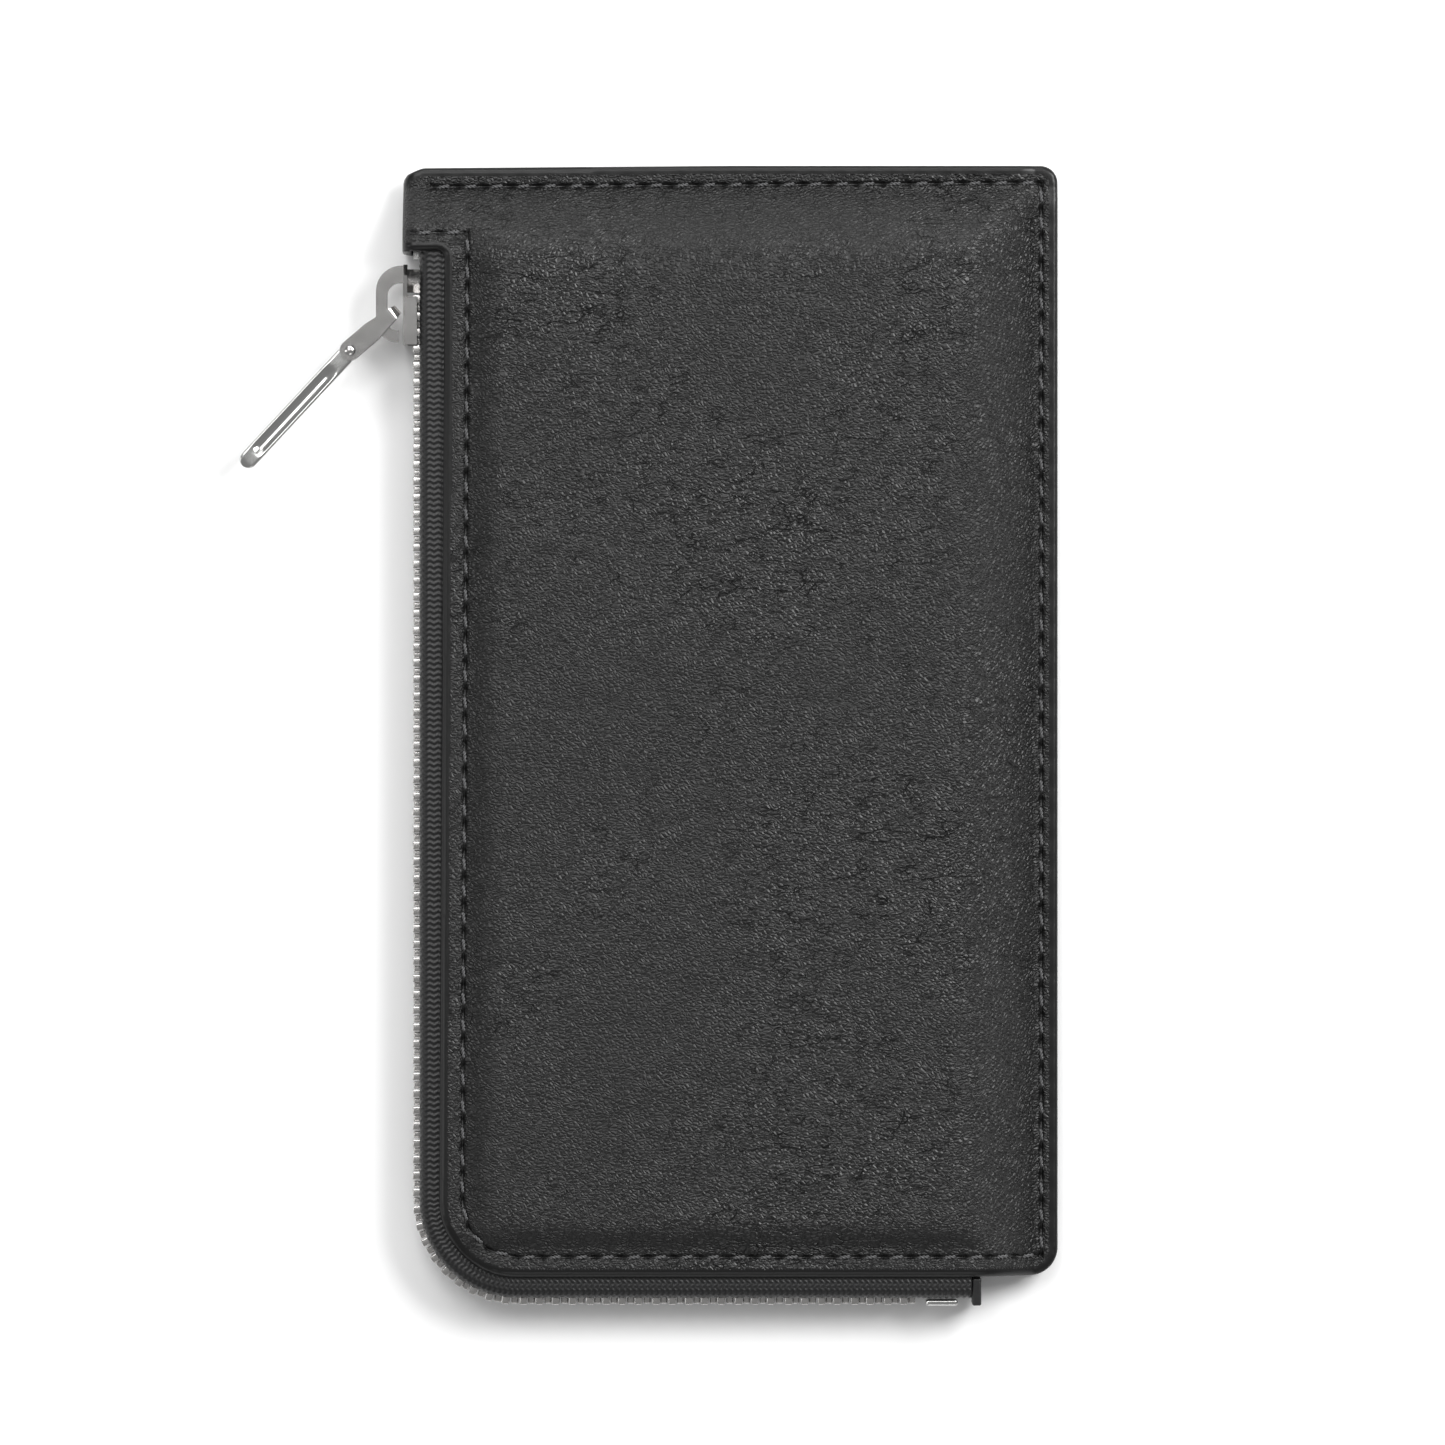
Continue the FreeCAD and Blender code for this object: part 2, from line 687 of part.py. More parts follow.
def pull_link():
    """A strip bent back on itself, narrow at the fold and rounded at the rivet."""
    inner, outer = LINK_INNER, LINK_INNER + size("link_strip")
    end = -size("link_length + link_end / 2")
    half = size("link_end") / 2
    ring_outer = Part.makeCylinder(outer, 2 * half, Vector(-outer, -half, 0), Vector(0, 1, 0))
    ring_inner = Part.makeCylinder(inner, 2 * half, Vector(-outer, -half, 0), Vector(0, 1, 0))
    legs = Part.makeBox(-end - outer, 2 * half, 2 * outer, Vector(end, -half, -outer))
    gap_start = Vector(end - CUT_MARGIN, -half, -inner)
    gap = Part.makeBox(-end - outer + CUT_MARGIN, 2 * half, 2 * inner, gap_start)
    strip = ring_outer.fuse(legs).cut(gap).cut(ring_inner)
    neck = size("link_neck") / 2
    length = size("link_length")
    wide_from = -size("link_length * link_taper")
    reach = outer + CUT_MARGIN
    plan = prism([(CUT_MARGIN, -neck), (CUT_MARGIN, neck), (wide_from, half), (-length, half),
                  (-length, -half), (wide_from, -half)], -reach, reach)
    plan = plan.fuse(Part.makeCylinder(half, 2 * reach, Vector(-length, 0, -reach)))
    hole = Part.makeCylinder(size("rivet_shaft / 2 + rivet_fit"), 4 * outer, Vector(-length, 0, -2 * outer))
    return strip.common(plan).cut(hole).removeSplitter()


def rivet():
    """A short pin with a low dome at each end."""
    reach = LINK_INNER + size("link_strip")
    pin = Part.makeCylinder(size("rivet_shaft") / 2, 2 * reach, Vector(0, 0, -reach))
    dome, half, fit = size("rivet_dome"), size("rivet_head") / 2, size("rivet_fit")
    ball = (half ** 2 + dome ** 2) / (2 * dome)
    for sign in (-1, 1):
        cap = Part.makeSphere(ball, Vector(0, 0, sign * (reach + fit + dome - ball)))
        base = reach if sign > 0 else -reach - dome - fit
        cap = cap.common(Part.makeCylinder(half, dome + fit, Vector(0, 0, base)))
        pin = pin.fuse(cap)
    return pin.removeSplitter()


link_item = shape_part("pull_link", pull_link())
link_item.Placement = Placement(FOLD_SPOT, LINK_TURN)
rivet_item = shape_part("link_rivet", rivet())
rivet_item.Placement = Placement(PIN, LINK_TURN)

pull = doc.addObject("PartDesign::Body", "Pull")
HALF = "(pull_width / 2)"
EYE = "(link_end / 2 - pull_eye_inset)"
EYE_RADIUS = "((rivet_shaft / 2 + pin_play) * eye_allowance)"
EYE_SIDES = 24
PULL_ROUND = f"{HALF} - pull_round_flat"
pull_corners = box_corners("-pull_length", EYE, f"-{HALF}", HALF)
pull_pad = add(pull, "Pad", "XY_Plane", pull_corners, "-bail_height / 2", "bail_height")
pull_round = round_corners(
    pull, pull_pad,
    {number: PULL_ROUND for number in range(len(pull_corners))}, pull_corners,
)
scoop = add(
    pull, "Pocket", "XY_Plane",
    box_corners(
        "-pull_length + scoop_end", "-scoop_start", f"-{HALF} + scoop_margin", f"{HALF} - scoop_margin"
    ),
    "bail_height / 2", "scoop_depth",
)
eye = add(
    pull, "Pocket", "XY_Plane",
    [(f"{math.cos(a):.6f} * {EYE_RADIUS}", f"{math.sin(a):.6f} * {EYE_RADIUS}")
     for a in (2 * math.pi * i / EYE_SIDES for i in range(EYE_SIDES))],
    "bail_height / 2", "bail_height",
)
pull.Placement = Placement(PIN, Rotation(Vector(0, 0, 1), size("pull_angle")))
keep("pull_tab", pull)


# stitches: short rods of thread laid along the seam
def stitch(start, end, clearance):
    """A rod of thread between two places, lifted along Z."""
    middle = (start + end) * 0.5 + Vector(0, 0, clearance)
    heading = (end - start).normalize()
    length = min(size("stitch_length"), (end - start).Length)
    return Part.makeCylinder(size("thread") / 2, length, middle - heading * (length / 2), heading)


def walk(wire, pitch):
    """Pairs of places one stitch apart along a wire, each pair within a straight or bent run."""
    pairs = []
    for edge in wire.Edges:
        count = max(1, round(edge.Length / pitch))
        lengths = [edge.Length * (i / count) for i in range(count + 1)]
        spots = [edge.valueAt(edge.getParameterByLength(length)) for length in lengths]
        pairs += list(zip(spots, spots[1:]))
    return pairs


def stitch_route(closed):
    """The seam's stitch line: open across the tab on the front, closed on the back."""
    inset = size("stitch_inset")
    left, right = size(PANEL) + inset, size(RIGHT) - inset
    low, high = size(BOTTOM) + inset, size(TOP) - inset
    radius = size("zip_corner") - inset
    slant = radius * (1 - math.sqrt(0.5))
    start = Vector(left, high if closed else size(TAB) + inset, 0)
    edges = [
        Part.makeLine(start, Vector(left, low + radius, 0)),
        Part.Arc(
            Vector(left, low + radius, 0), Vector(left + slant, low + slant, 0), Vector(left + radius, low, 0)
        ).toShape(),
        Part.makeLine(Vector(left + radius, low, 0), Vector(right, low, 0)),
        Part.makeLine(Vector(right, low, 0), Vector(right, high, 0)),
    ]
    last = Vector(left if closed else size(TAB_LEFT) + inset, high, 0)
    edges.append(Part.makeLine(Vector(right, high, 0), last))
    if not closed:
        edges.insert(0, Part.makeLine(Vector(size(f"{TAB_LEFT} + stitch_start"), start.y, 0), start))
    return Part.Wire(edges)


LIFT = size("thread / 2 + stitch_lift")
fixed_stitches, flap_stitches = [], []
for start, end in walk(stitch_route(False), size("stitch_pitch")):
    for spot in (start, end):
        spot.z = front_height(spot.x, spot.y)
    middle = (start + end) * 0.5
    away = fold_distance(middle.x, middle.y)
    if abs(away) > size("stitch_length"):
        lift = LIFT + max(0.0, front_height(middle.x, middle.y) - middle.z)
        (fixed_stitches if away > 0 else flap_stitches).append(stitch(start, end, lift))
shape_part("front_stitching", Part.makeCompound(fixed_stitches))
shape_part("flap_stitching", Part.makeCompound(flap_stitches))
back_stitches = [
    stitch(start, end, size("thread / 2 + back_stitch_lift"))
    for start, end in walk(stitch_route(True), size("stitch_pitch"))
]
shape_part("back_stitching", Part.makeCompound(back_stitches))

pocket_top = size(f"{POCKET_FLOOR} + {POCKET_COUNT} * (pocket_leaf + glue_gap)")
seam_x = size(f"{POCKET_RIGHT} - stitch_inset / 2")
pocket_line = Part.makeLine(
    Vector(seam_x, size(f"{POCKET_LOW} + stitch_inset / 2"), pocket_top),
    Vector(seam_x, size(f"{POCKET_LOW} + pocket_width - stitch_inset / 2"), pocket_top),
)
pocket_stitches = [
    stitch(start, end, size("thread") / 2)
    for start, end in walk(Part.Wire(pocket_line), size("stitch_pitch"))
]
shape_part("pocket_stitching", Part.makeCompound(pocket_stitches))

doc.recompute()
for item in doc.Objects:
    if "Invalid" in item.State or "Error" in item.State:
        raise RuntimeError(f"{item.Label} failed to rebuild: {item.State}")
for item in parts:
    if item.Shape.isNull() or not item.Shape.isValid() or not item.Shape.Solids:
        raise RuntimeError(f"{item.Label} has no valid solid")

os.makedirs("parts", exist_ok=True)
for item in parts:
    item.Shape.exportStep(f"parts/{item.Label}.step")
    print(f"{item.Label}: {len(item.Shape.Solids)} solids, {item.Shape.Volume:.1f} mm3")
print("fold line", FOLD_START, FOLD_END, "crown", size(CROWN), "link pivot", FOLD_SPOT, "pin", PIN)
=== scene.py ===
"""A long zip wallet in black leather, lying on its back on a pale floor.

Lengths are in millimetres and turned into metres by M when a mesh is made. Places come from the
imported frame, in which +X is the width, +Y the length and +Z the thickness.
"""

import json
import math
import random

import bmesh
import bpy
import numpy as np
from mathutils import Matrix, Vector, noise
from mathutils.geometry import delaunay_2d_cdt


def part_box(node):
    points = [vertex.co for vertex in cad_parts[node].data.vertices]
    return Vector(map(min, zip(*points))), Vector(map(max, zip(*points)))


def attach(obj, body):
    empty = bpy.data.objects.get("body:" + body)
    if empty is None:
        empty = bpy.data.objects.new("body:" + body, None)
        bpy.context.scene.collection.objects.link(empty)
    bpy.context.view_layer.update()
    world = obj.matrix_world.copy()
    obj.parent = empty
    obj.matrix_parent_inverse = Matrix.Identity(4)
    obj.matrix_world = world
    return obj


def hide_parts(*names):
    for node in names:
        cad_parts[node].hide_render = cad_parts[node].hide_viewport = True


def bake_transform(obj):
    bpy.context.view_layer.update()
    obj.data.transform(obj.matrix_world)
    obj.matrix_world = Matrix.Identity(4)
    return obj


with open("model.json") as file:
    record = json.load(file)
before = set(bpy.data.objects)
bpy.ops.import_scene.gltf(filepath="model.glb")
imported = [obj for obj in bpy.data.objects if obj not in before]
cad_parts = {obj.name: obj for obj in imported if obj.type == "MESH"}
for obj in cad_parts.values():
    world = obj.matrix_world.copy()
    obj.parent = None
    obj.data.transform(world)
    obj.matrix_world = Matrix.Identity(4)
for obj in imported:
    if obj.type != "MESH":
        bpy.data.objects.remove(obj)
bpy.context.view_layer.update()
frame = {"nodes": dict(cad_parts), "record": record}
SEED = 7
random.seed(SEED)
M = 0.001


# ---------------------------------------------------------------- places from the frame
def box_mm(node):
    """A CAD node's box in millimetres, as two arrays."""
    low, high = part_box(node)
    return np.array(low) / M, np.array(high) / M


def joint_named(name):
    """A joint of the record."""
    return next(joint for joint in frame["record"]["behaviour"]["joints"] if joint["name"] == name)


BACK_LOW, _ = box_mm("back_panel")
FRONT_LOW, FRONT_HIGH = box_mm("front_panel")
FLAP_LOW, _ = box_mm("front_flap")
TEETH_LOW, TEETH_HIGH = box_mm("front_teeth")
_, TAPE_HIGH = box_mm("front_tape")

LEATHER = 1.2
GLUE = 0.04
RIGHT, TOP, BOTTOM = FRONT_HIGH[0], FRONT_HIGH[1], FRONT_LOW[1]
WRAP = FRONT_LOW[0]

# Heights of the front's outer face: its crown, its border over the zip and its sewn border.
# The crown is set higher by what soft_min takes off it.
CROWN_BLEND_LOSS = 0.85
CROWN = FRONT_HIGH[2] + CROWN_BLEND_LOSS
EDGE = TAPE_HIGH[2] + LEATHER + GLUE
SEAM = 4.84
MIDDLE = EDGE / 2

# The front panel's zip side, at the top and at the bottom, and the tab's lower edge.
PANEL_TOP, PANEL_LOW = FLAP_LOW[0] + 0.6, FLAP_LOW[0] - 0.3
TAB_LENGTH = 12.8
TAB = TOP - TAB_LENGTH
ZIP_CORNER = 11.0

mouth = joint_named("mouth_open")
FOLD_OUT = np.cross(mouth["axis"], [0, 0, -1.0])
FOLD_OUT = FOLD_OUT / np.linalg.norm(FOLD_OUT)
if FOLD_OUT[0] > 0:
    FOLD_OUT = -FOLD_OUT


def bend_with_flap(piece):
    """Bake the piece's placement into its mesh. It is not bent or turned with the mouth."""
    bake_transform(piece)


# ---------------------------------------------------------------- materials
def new_material(name, colour, roughness, metallic=0.0, specular=0.5):
    """A principled material and what is needed to go on with it."""
    material = bpy.data.materials.new(name)
    material.use_nodes = True
    tree = material.node_tree
    shader = tree.nodes["Principled BSDF"]
    shader.inputs["Base Color"].default_value = (*colour, 1)
    shader.inputs["Roughness"].default_value = roughness
    shader.inputs["Metallic"].default_value = metallic
    shader.inputs["Specular IOR Level"].default_value = specular
    return material, tree, shader


def node(tree, kind, links=None, **values):
    """Add a node, set its properties and inputs, and link what it takes."""
    made = tree.nodes.new(kind)
    for key, value in values.items():
        if hasattr(made, key):
            setattr(made, key, value)
        else:
            made.inputs[key.replace("_", " ")].default_value = value
    for key, source in (links or {}).items():
        tree.links.new(source, made.inputs[key])
    return made


def position(tree, stretch=(1, 1, 1), turn=0.0):
    """Object coordinates, stretched and turned about Z."""
    where = node(tree, "ShaderNodeTexCoord")
    mapping = node(tree, "ShaderNodeMapping", {"Vector": where.outputs["Object"]})
    mapping.inputs["Scale"].default_value = stretch
    mapping.inputs["Rotation"].default_value = (0, 0, turn)
    return mapping.outputs["Vector"]


def maths(tree, operation, first, second=None):
    """A maths node on sockets or numbers."""
    made = node(tree, "ShaderNodeMath", operation=operation)
    for slot, value in enumerate((first, second)):
        if value is None:
            continue
        if isinstance(value, (int, float)):
            made.inputs[slot].default_value = value
        else:
            tree.links.new(value, made.inputs[slot])
    return made.outputs[0]


def bump(tree, height, distance, strength=1.0, normal=None):
    """A bump of real height, in metres."""
    made = node(tree, "ShaderNodeBump", {"Height": height}, Strength=strength, Distance=distance)
    if normal:
        tree.links.new(normal, made.inputs["Normal"])
    return made.outputs["Normal"]


def spread(tree, value, low, high, to_low=0.0, to_high=1.0):
    """Map a range of a value to another, clamped."""
    made = node(tree, "ShaderNodeMapRange", {"Value": value})
    made.inputs["From Min"].default_value = low
    made.inputs["From Max"].default_value = high
    made.inputs["To Min"].default_value = to_low
    made.inputs["To Max"].default_value = to_high
    return made.outputs["Result"]


def cell_edges(tree, warp, push, stretch, turn, scale):
    """Distance to the nearest edge of a cell pattern whose coordinates a noise has pushed about."""
    place = node(tree, "ShaderNodeVectorMath", {0: warp.outputs["Color"]}, operation="MULTIPLY_ADD")
    place.inputs[1].default_value = (push, push, push)
    tree.links.new(position(tree, stretch, turn), place.inputs[2])
    cells = node(
        tree, "ShaderNodeTexVoronoi", {"Vector": place.outputs[0]}, feature="DISTANCE_TO_EDGE", Scale=scale
    )
    return cells.outputs["Distance"]


PEBBLE_RELIEF, FINE_RELIEF, CREASE_RELIEF = 0.000095, 0.000012, 0.0002
DULL, SHINY = 0.5, 0.34


def leather_material(name, grain=1.0, shade=0.006):
    """Black leather: pebble grain, wandering creases, soft mottling and a low sheen."""
    material, tree, shader = new_material(name, (shade, shade, shade), DULL, 0.0, 0.4)
    warp = node(tree, "ShaderNodeTexNoise", {"Vector": position(tree)}, Scale=260.0, Detail=3.0)
    pebbles = spread(tree, cell_edges(tree, warp, 0.0022, (1.0, 1.35, 1.0), 0.2, 1500.0), 0.0, 0.32)
    line = spread(tree, cell_edges(tree, warp, 0.004, (0.34, 1.5, 1.0), 0.32, 420.0), 0.0, 0.045)
    fine = node(tree, "ShaderNodeTexNoise", {"Vector": position(tree)}, Scale=5200.0, Detail=2.0)

    # Creases run along the lines, but only in some patches, and with gaps.
    patch = node(tree, "ShaderNodeTexNoise", {"Vector": position(tree)}, Scale=42.0, Detail=3.0)
    patches = patch.outputs["Fac"]
    broken = node(tree, "ShaderNodeTexNoise", {"Vector": position(tree)}, Scale=330.0, Detail=1.0)
    gaps = spread(tree, broken.outputs["Fac"], 0.46, 0.6)
    where = maths(tree, "MULTIPLY", spread(tree, patches, 0.4, 0.66), gaps)
    sunk = maths(tree, "MULTIPLY", maths(tree, "SUBTRACT", 1.0, line), where)
    creases = maths(tree, "SUBTRACT", 1.0, sunk)

    first = bump(tree, pebbles, PEBBLE_RELIEF * grain)
    second = bump(tree, fine.outputs["Fac"], FINE_RELIEF * grain, 1.0, first)
    third = bump(tree, creases, CREASE_RELIEF * grain, 1.0, second)
    tree.links.new(third, shader.inputs["Normal"])

    # Mottled by patches at random, with painted shade darkening the hollows between the pebbles and along
    # the crease lines.
    tone = node(tree, "ShaderNodeMix", {"Factor": spread(tree, patches, 0.3, 0.7)}, data_type="RGBA")
    tone.inputs["A"].default_value = (shade * 0.8, shade * 0.8, shade * 0.8, 1)
    tone.inputs["B"].default_value = (shade * 1.35, shade * 1.35, shade * 1.36, 1)
    painted_hollow_shade = {"Factor": maths(tree, "MULTIPLY", pebbles, line), "B": tone.outputs["Result"]}
    painted_shade = node(tree, "ShaderNodeMix", painted_hollow_shade, data_type="RGBA")
    painted_shade.inputs["A"].default_value = (shade * 0.45, shade * 0.45, shade * 0.45, 1)
    tree.links.new(painted_shade.outputs["Result"], shader.inputs["Base Color"])
    tree.links.new(spread(tree, patches, 0.3, 0.7, DULL, SHINY), shader.inputs["Roughness"])
    return material


def painted_edge_material():
    """Smooth black edge paint over cut leather."""
    material, tree, shader = new_material("painted_edge", (0.005, 0.005, 0.005), 0.34, 0.0, 0.3)
    ripple = node(tree, "ShaderNodeTexNoise", {"Vector": position(tree)}, Scale=900.0, Detail=2.0)
    tree.links.new(bump(tree, ripple.outputs["Fac"], 0.00001), shader.inputs["Normal"])
    return material


def tape_material():
    """Woven polyester tape."""
    material, tree, shader = new_material("zip_tape_weave", (0.004, 0.004, 0.0043), 0.38, 0.0, 0.45)
    fibre = node(tree, "ShaderNodeTexNoise", {"Vector": position(tree)}, Scale=9000.0, Detail=2.0)
    tree.links.new(bump(tree, fibre.outputs["Fac"], 0.00002), shader.inputs["Normal"])
    shader.inputs["Sheen Weight"].default_value = 0.08
    shader.inputs["Sheen Roughness"].default_value = 0.4
    return material


def metal_material(name, colour, roughness, scratch=0.0000004):
    """Plated metal with fine brushing and a little wear."""
    material, tree, shader = new_material(name, colour, roughness, 1.0)
    rub = node(tree, "ShaderNodeTexNoise", {"Vector": position(tree, (1, 1, 6))}, Scale=500.0, Detail=2.0)
    wear = spread(tree, rub.outputs["Fac"], 0.3, 0.7, roughness * 0.9, roughness * 1.12)
    tree.links.new(wear, shader.inputs["Roughness"])
    tree.links.new(bump(tree, rub.outputs["Fac"], scratch), shader.inputs["Normal"])
    return material


def thread_material():
    """Charcoal polyester thread."""
    material, tree, shader = new_material("thread_fibre", (0.07, 0.07, 0.072), 0.42)
    fibre = node(tree, "ShaderNodeTexNoise", {"Vector": position(tree)}, Scale=12000.0)
    tree.links.new(bump(tree, fibre.outputs["Fac"], 0.00002), shader.inputs["Normal"])
    shader.inputs["Sheen Weight"].default_value = 0.12
    return material


def cloth_material(name, colour, pitch=2600.0):
    """Plain woven lining, as crossed waves."""
    material, tree, shader = new_material(name, colour, 0.7)
    across = node(tree, "ShaderNodeTexWave", {"Vector": position(tree)}, Scale=pitch, bands_direction="X")
    along = node(tree, "ShaderNodeTexWave", {"Vector": position(tree)}, Scale=pitch, bands_direction="Y")
    weave = maths(tree, "MULTIPLY", across.outputs["Fac"], along.outputs["Fac"])
    tree.links.new(bump(tree, weave, 0.00006), shader.inputs["Normal"])
    shader.inputs["Sheen Weight"].default_value = 0.2
    return material


LEATHER_SKIN = leather_material("black_leather")
POCKET_SKIN = leather_material("pocket_leather_skin", 0.5, 0.02)
EDGE_PAINT = painted_edge_material()
TAPE_WEAVE = tape_material()
NICKEL = metal_material("polished_nickel", (0.58, 0.57, 0.56), 0.16)
SATIN = metal_material("satin_nickel", (0.55, 0.55, 0.54), 0.2)
TOOTH_METAL = metal_material("brushed_teeth", (0.5, 0.49, 0.48), 0.24)
THREAD = thread_material()
LINING = cloth_material("lining_weave", (0.02, 0.02, 0.022))
BOARD = cloth_material("stiffener_fibre", (0.16, 0.14, 0.12), 1400.0)


# ---------------------------------------------------------------- outlines and heights
def turned(arm, angle):
    """A flat vector turned anticlockwise."""
    cos, sin = math.cos(angle), math.sin(angle)
    return np.array([arm[0] * cos - arm[1] * sin, arm[0] * sin + arm[1] * cos])


def angle_between(start, end):
    """The turn from one flat vector to another, positive anticlockwise."""
    return math.atan2(start[0] * end[1] - start[1] * end[0], start @ end)


NEARLY_STRAIGHT = 1.55


def rounded_outline(corners, step=0.4):
    """Dense points round a polygon whose corners (x, y, radius) are rounded, anticlockwise."""
    points = []
    count = len(corners)
    for i, (x, y, radius) in enumerate(corners):
        here = np.array([x, y])
        before = np.array(corners[i - 1][:2]) - here
        after = np.array(corners[(i + 1) % count][:2]) - here
        before, after = before / np.linalg.norm(before), after / np.linalg.norm(after)
        half = math.acos(np.clip(before @ after, -1, 1)) / 2
        if radius <= 0 or half > NEARLY_STRAIGHT:
            points.append(here)
            continue
        reach = radius / math.tan(half)
        centre = here + (before + after) / np.linalg.norm(before + after) * radius / math.sin(half)
        start, end = here + before * reach - centre, here + after * reach - centre
        turn = angle_between(start, end)
        steps = max(2, int(abs(turn) * radius / step) + 1)
        points += [centre + turned(start, turn * k / steps) for k in range(steps + 1)]
    dense = []
    for a, b in zip(points, points[1:] + points[:1]):
        length = np.linalg.norm(b - a)
        pieces = max(1, int(round(length / step)))
        dense += [a + (b - a) * k / pieces for k in range(pieces)]
    return np.array(dense)


BATCH = 4000
TINY = 1e-12


def edge_distance(points, outline):
    """Distance from each point to a closed outline, negative outside."""
    a, b = outline, np.roll(outline, -1, axis=0)
    run = b - a
    lengths = (run ** 2).sum(1)
    out = np.empty(len(points))
    rise = np.where(np.abs(run[:, 1]) < TINY, TINY, run[:, 1])
    for first in range(0, len(points), BATCH):
        p = points[first:first + BATCH]
        t = np.clip(((p[:, None] - a) * run).sum(2) / lengths, 0, 1)
        near = np.sqrt((((a + t[..., None] * run) - p[:, None]) ** 2).sum(2)).min(1)
        crosses = (a[:, 1] > p[:, 1:2]) != (b[:, 1] > p[:, 1:2])
        at = a[:, 0] + (p[:, 1:2] - a[:, 1]) / rise * run[:, 0]
        inside = (crosses & (p[:, 0:1] < at)).sum(1) % 2 == 1
        out[first:first + BATCH] = np.where(inside, near, -near)
    return out


def smooth(t):
    """Smooth step of a clamped value."""
    t = np.clip(t, 0, 1)
    return t * t * (3 - 2 * t)


def soft_min(a, b, blend):
    """The lower of two heights, rounded where they cross."""
    t = np.clip(0.5 + 0.5 * (b - a) / blend, 0, 1)
    return b * (1 - t) + a * t - blend * t * (1 - t)


def panel_left(y):
    """The zip side of the front panel leans out a little towards the bottom."""
    t = (TOP - y) / (TOP - BOTTOM)
    return PANEL_TOP + (PANEL_LOW - PANEL_TOP) * t


ZIP_BORDER, SEAM_BORDER = 3.4, 3.2
ZIP_RISE, SEAM_RISE = 5.5, 15.0
SMOOTH_SHARE, ROUND_POWER = 0.45, 2.6
SIDE_BLEND, FACE_BLEND = 1.2, 2.0


def side_profile(to_zip, to_seam):
    """Height of the padded front by distance from the zip side and from the sewn side."""
    zip_side = EDGE + (CROWN - EDGE) * smooth((to_zip - ZIP_BORDER) / ZIP_RISE)
    t = np.clip((to_seam - SEAM_BORDER) / SEAM_RISE, 0, 1)
    eased = smooth(t * 1.1) * SMOOTH_SHARE + (1 - (1 - t) ** ROUND_POWER) * (1 - SMOOTH_SHARE)
    seam_side = SEAM + (CROWN - SEAM) * eased
    return soft_min(zip_side, seam_side, SIDE_BLEND)


def front_height(x, y):
    """Height of the front leather's outer face, before grain and puckers."""
    across = side_profile(x - panel_left(y), RIGHT - x)
    along = side_profile(y - BOTTOM, TOP - y)
    return soft_min(across, along, FACE_BLEND)


# ---------------------------------------------------------------- stitch lines
STITCH_PITCH = 3.85


def run_points(runs):
    """Each stitch's two ends along runs (start, end, arc's centre or None), in whole stitches."""
    ends = []
    for a, b, centre in runs:
        a, b = np.array(a), np.array(b)
        if centre is None:
            count = max(1, round(np.linalg.norm(b - a) / STITCH_PITCH))
            places = [a + (b - a) * k / count for k in range(count + 1)]
        else:
            start = a - centre
            turn = angle_between(start, b - centre)
            count = max(1, round(abs(turn) * np.linalg.norm(start) / STITCH_PITCH))
            places = [centre + turned(start, turn * k / count) for k in range(count + 1)]
        ends += list(zip(places, places[1:]))
    return ends


# Stitch lines: how far in from the leaning zip side, and where along X or Y the others lie.
STITCH_LEFT = 3.25
STITCH_RIGHT, STITCH_TOP, STITCH_LOW = RIGHT - 2.3, TOP - 2.4, BOTTOM + 2.8
TAB_STITCH = TAB + 3.0
CORNER_Y = BOTTOM + ZIP_CORNER


def corner_run(left, reach):
    """The rounded run at the bottom of the zip side."""
    return (left, CORNER_Y), (left + reach, STITCH_LOW), (left + reach, STITCH_LOW + reach)


tab_left = panel_left(TAB_STITCH) + STITCH_LEFT
low_left = panel_left(CORNER_Y) + STITCH_LEFT
front_corner = ZIP_CORNER - STITCH_LEFT
FRONT_STITCHES = run_points([
    ((WRAP + 1.2, TAB_STITCH - 0.1), (tab_left, TAB_STITCH), None),
    ((tab_left, TAB_STITCH), (low_left, CORNER_Y), None),
    corner_run(low_left, front_corner),
    ((low_left + front_corner, STITCH_LOW), (STITCH_RIGHT, STITCH_LOW), None),
    ((STITCH_RIGHT, STITCH_LOW), (STITCH_RIGHT, STITCH_TOP), None),
    ((STITCH_RIGHT, STITCH_TOP), (WRAP + 4.0, STITCH_TOP - 0.6), None),
])

BACK_STITCH_LEFT, BACK_STITCH_TOP = -38.9, STITCH_TOP - 0.2
back_corner = 8.1
BACK_STITCHES = run_points([
    ((BACK_STITCH_LEFT, BACK_STITCH_TOP), (BACK_STITCH_LEFT, CORNER_Y), None),
    corner_run(BACK_STITCH_LEFT, back_corner),
    ((BACK_STITCH_LEFT + back_corner, STITCH_LOW), (STITCH_RIGHT, STITCH_LOW), None),
    ((STITCH_RIGHT, STITCH_LOW), (STITCH_RIGHT, STITCH_TOP), None),
    ((STITCH_RIGHT, STITCH_TOP), (BACK_STITCH_LEFT, BACK_STITCH_TOP), None),
])

# Mesh rows beside a seam, by their distance from it. The rows at GROOVE_HALF bound its strip of painted
# shade.
GROOVE_HALF = 0.17
GROOVE_ROWS = (-0.55, -0.3, -GROOVE_HALF, 0.0, GROOVE_HALF, 0.3, 0.55)


def seam_rows(stitches, gap=0.35):
    """Mesh points in rows along a stitch line, close enough together to hold its groove."""
    spots = []
    for start, end in stitches:
        run = end - start
        side = np.array([-run[1], run[0]]) / np.linalg.norm(run)
        steps = max(2, int(np.linalg.norm(run) / gap))
        for k in range(steps):
            spots += [start + run * k / steps + side * row for row in GROOVE_ROWS]
    return np.array(spots)


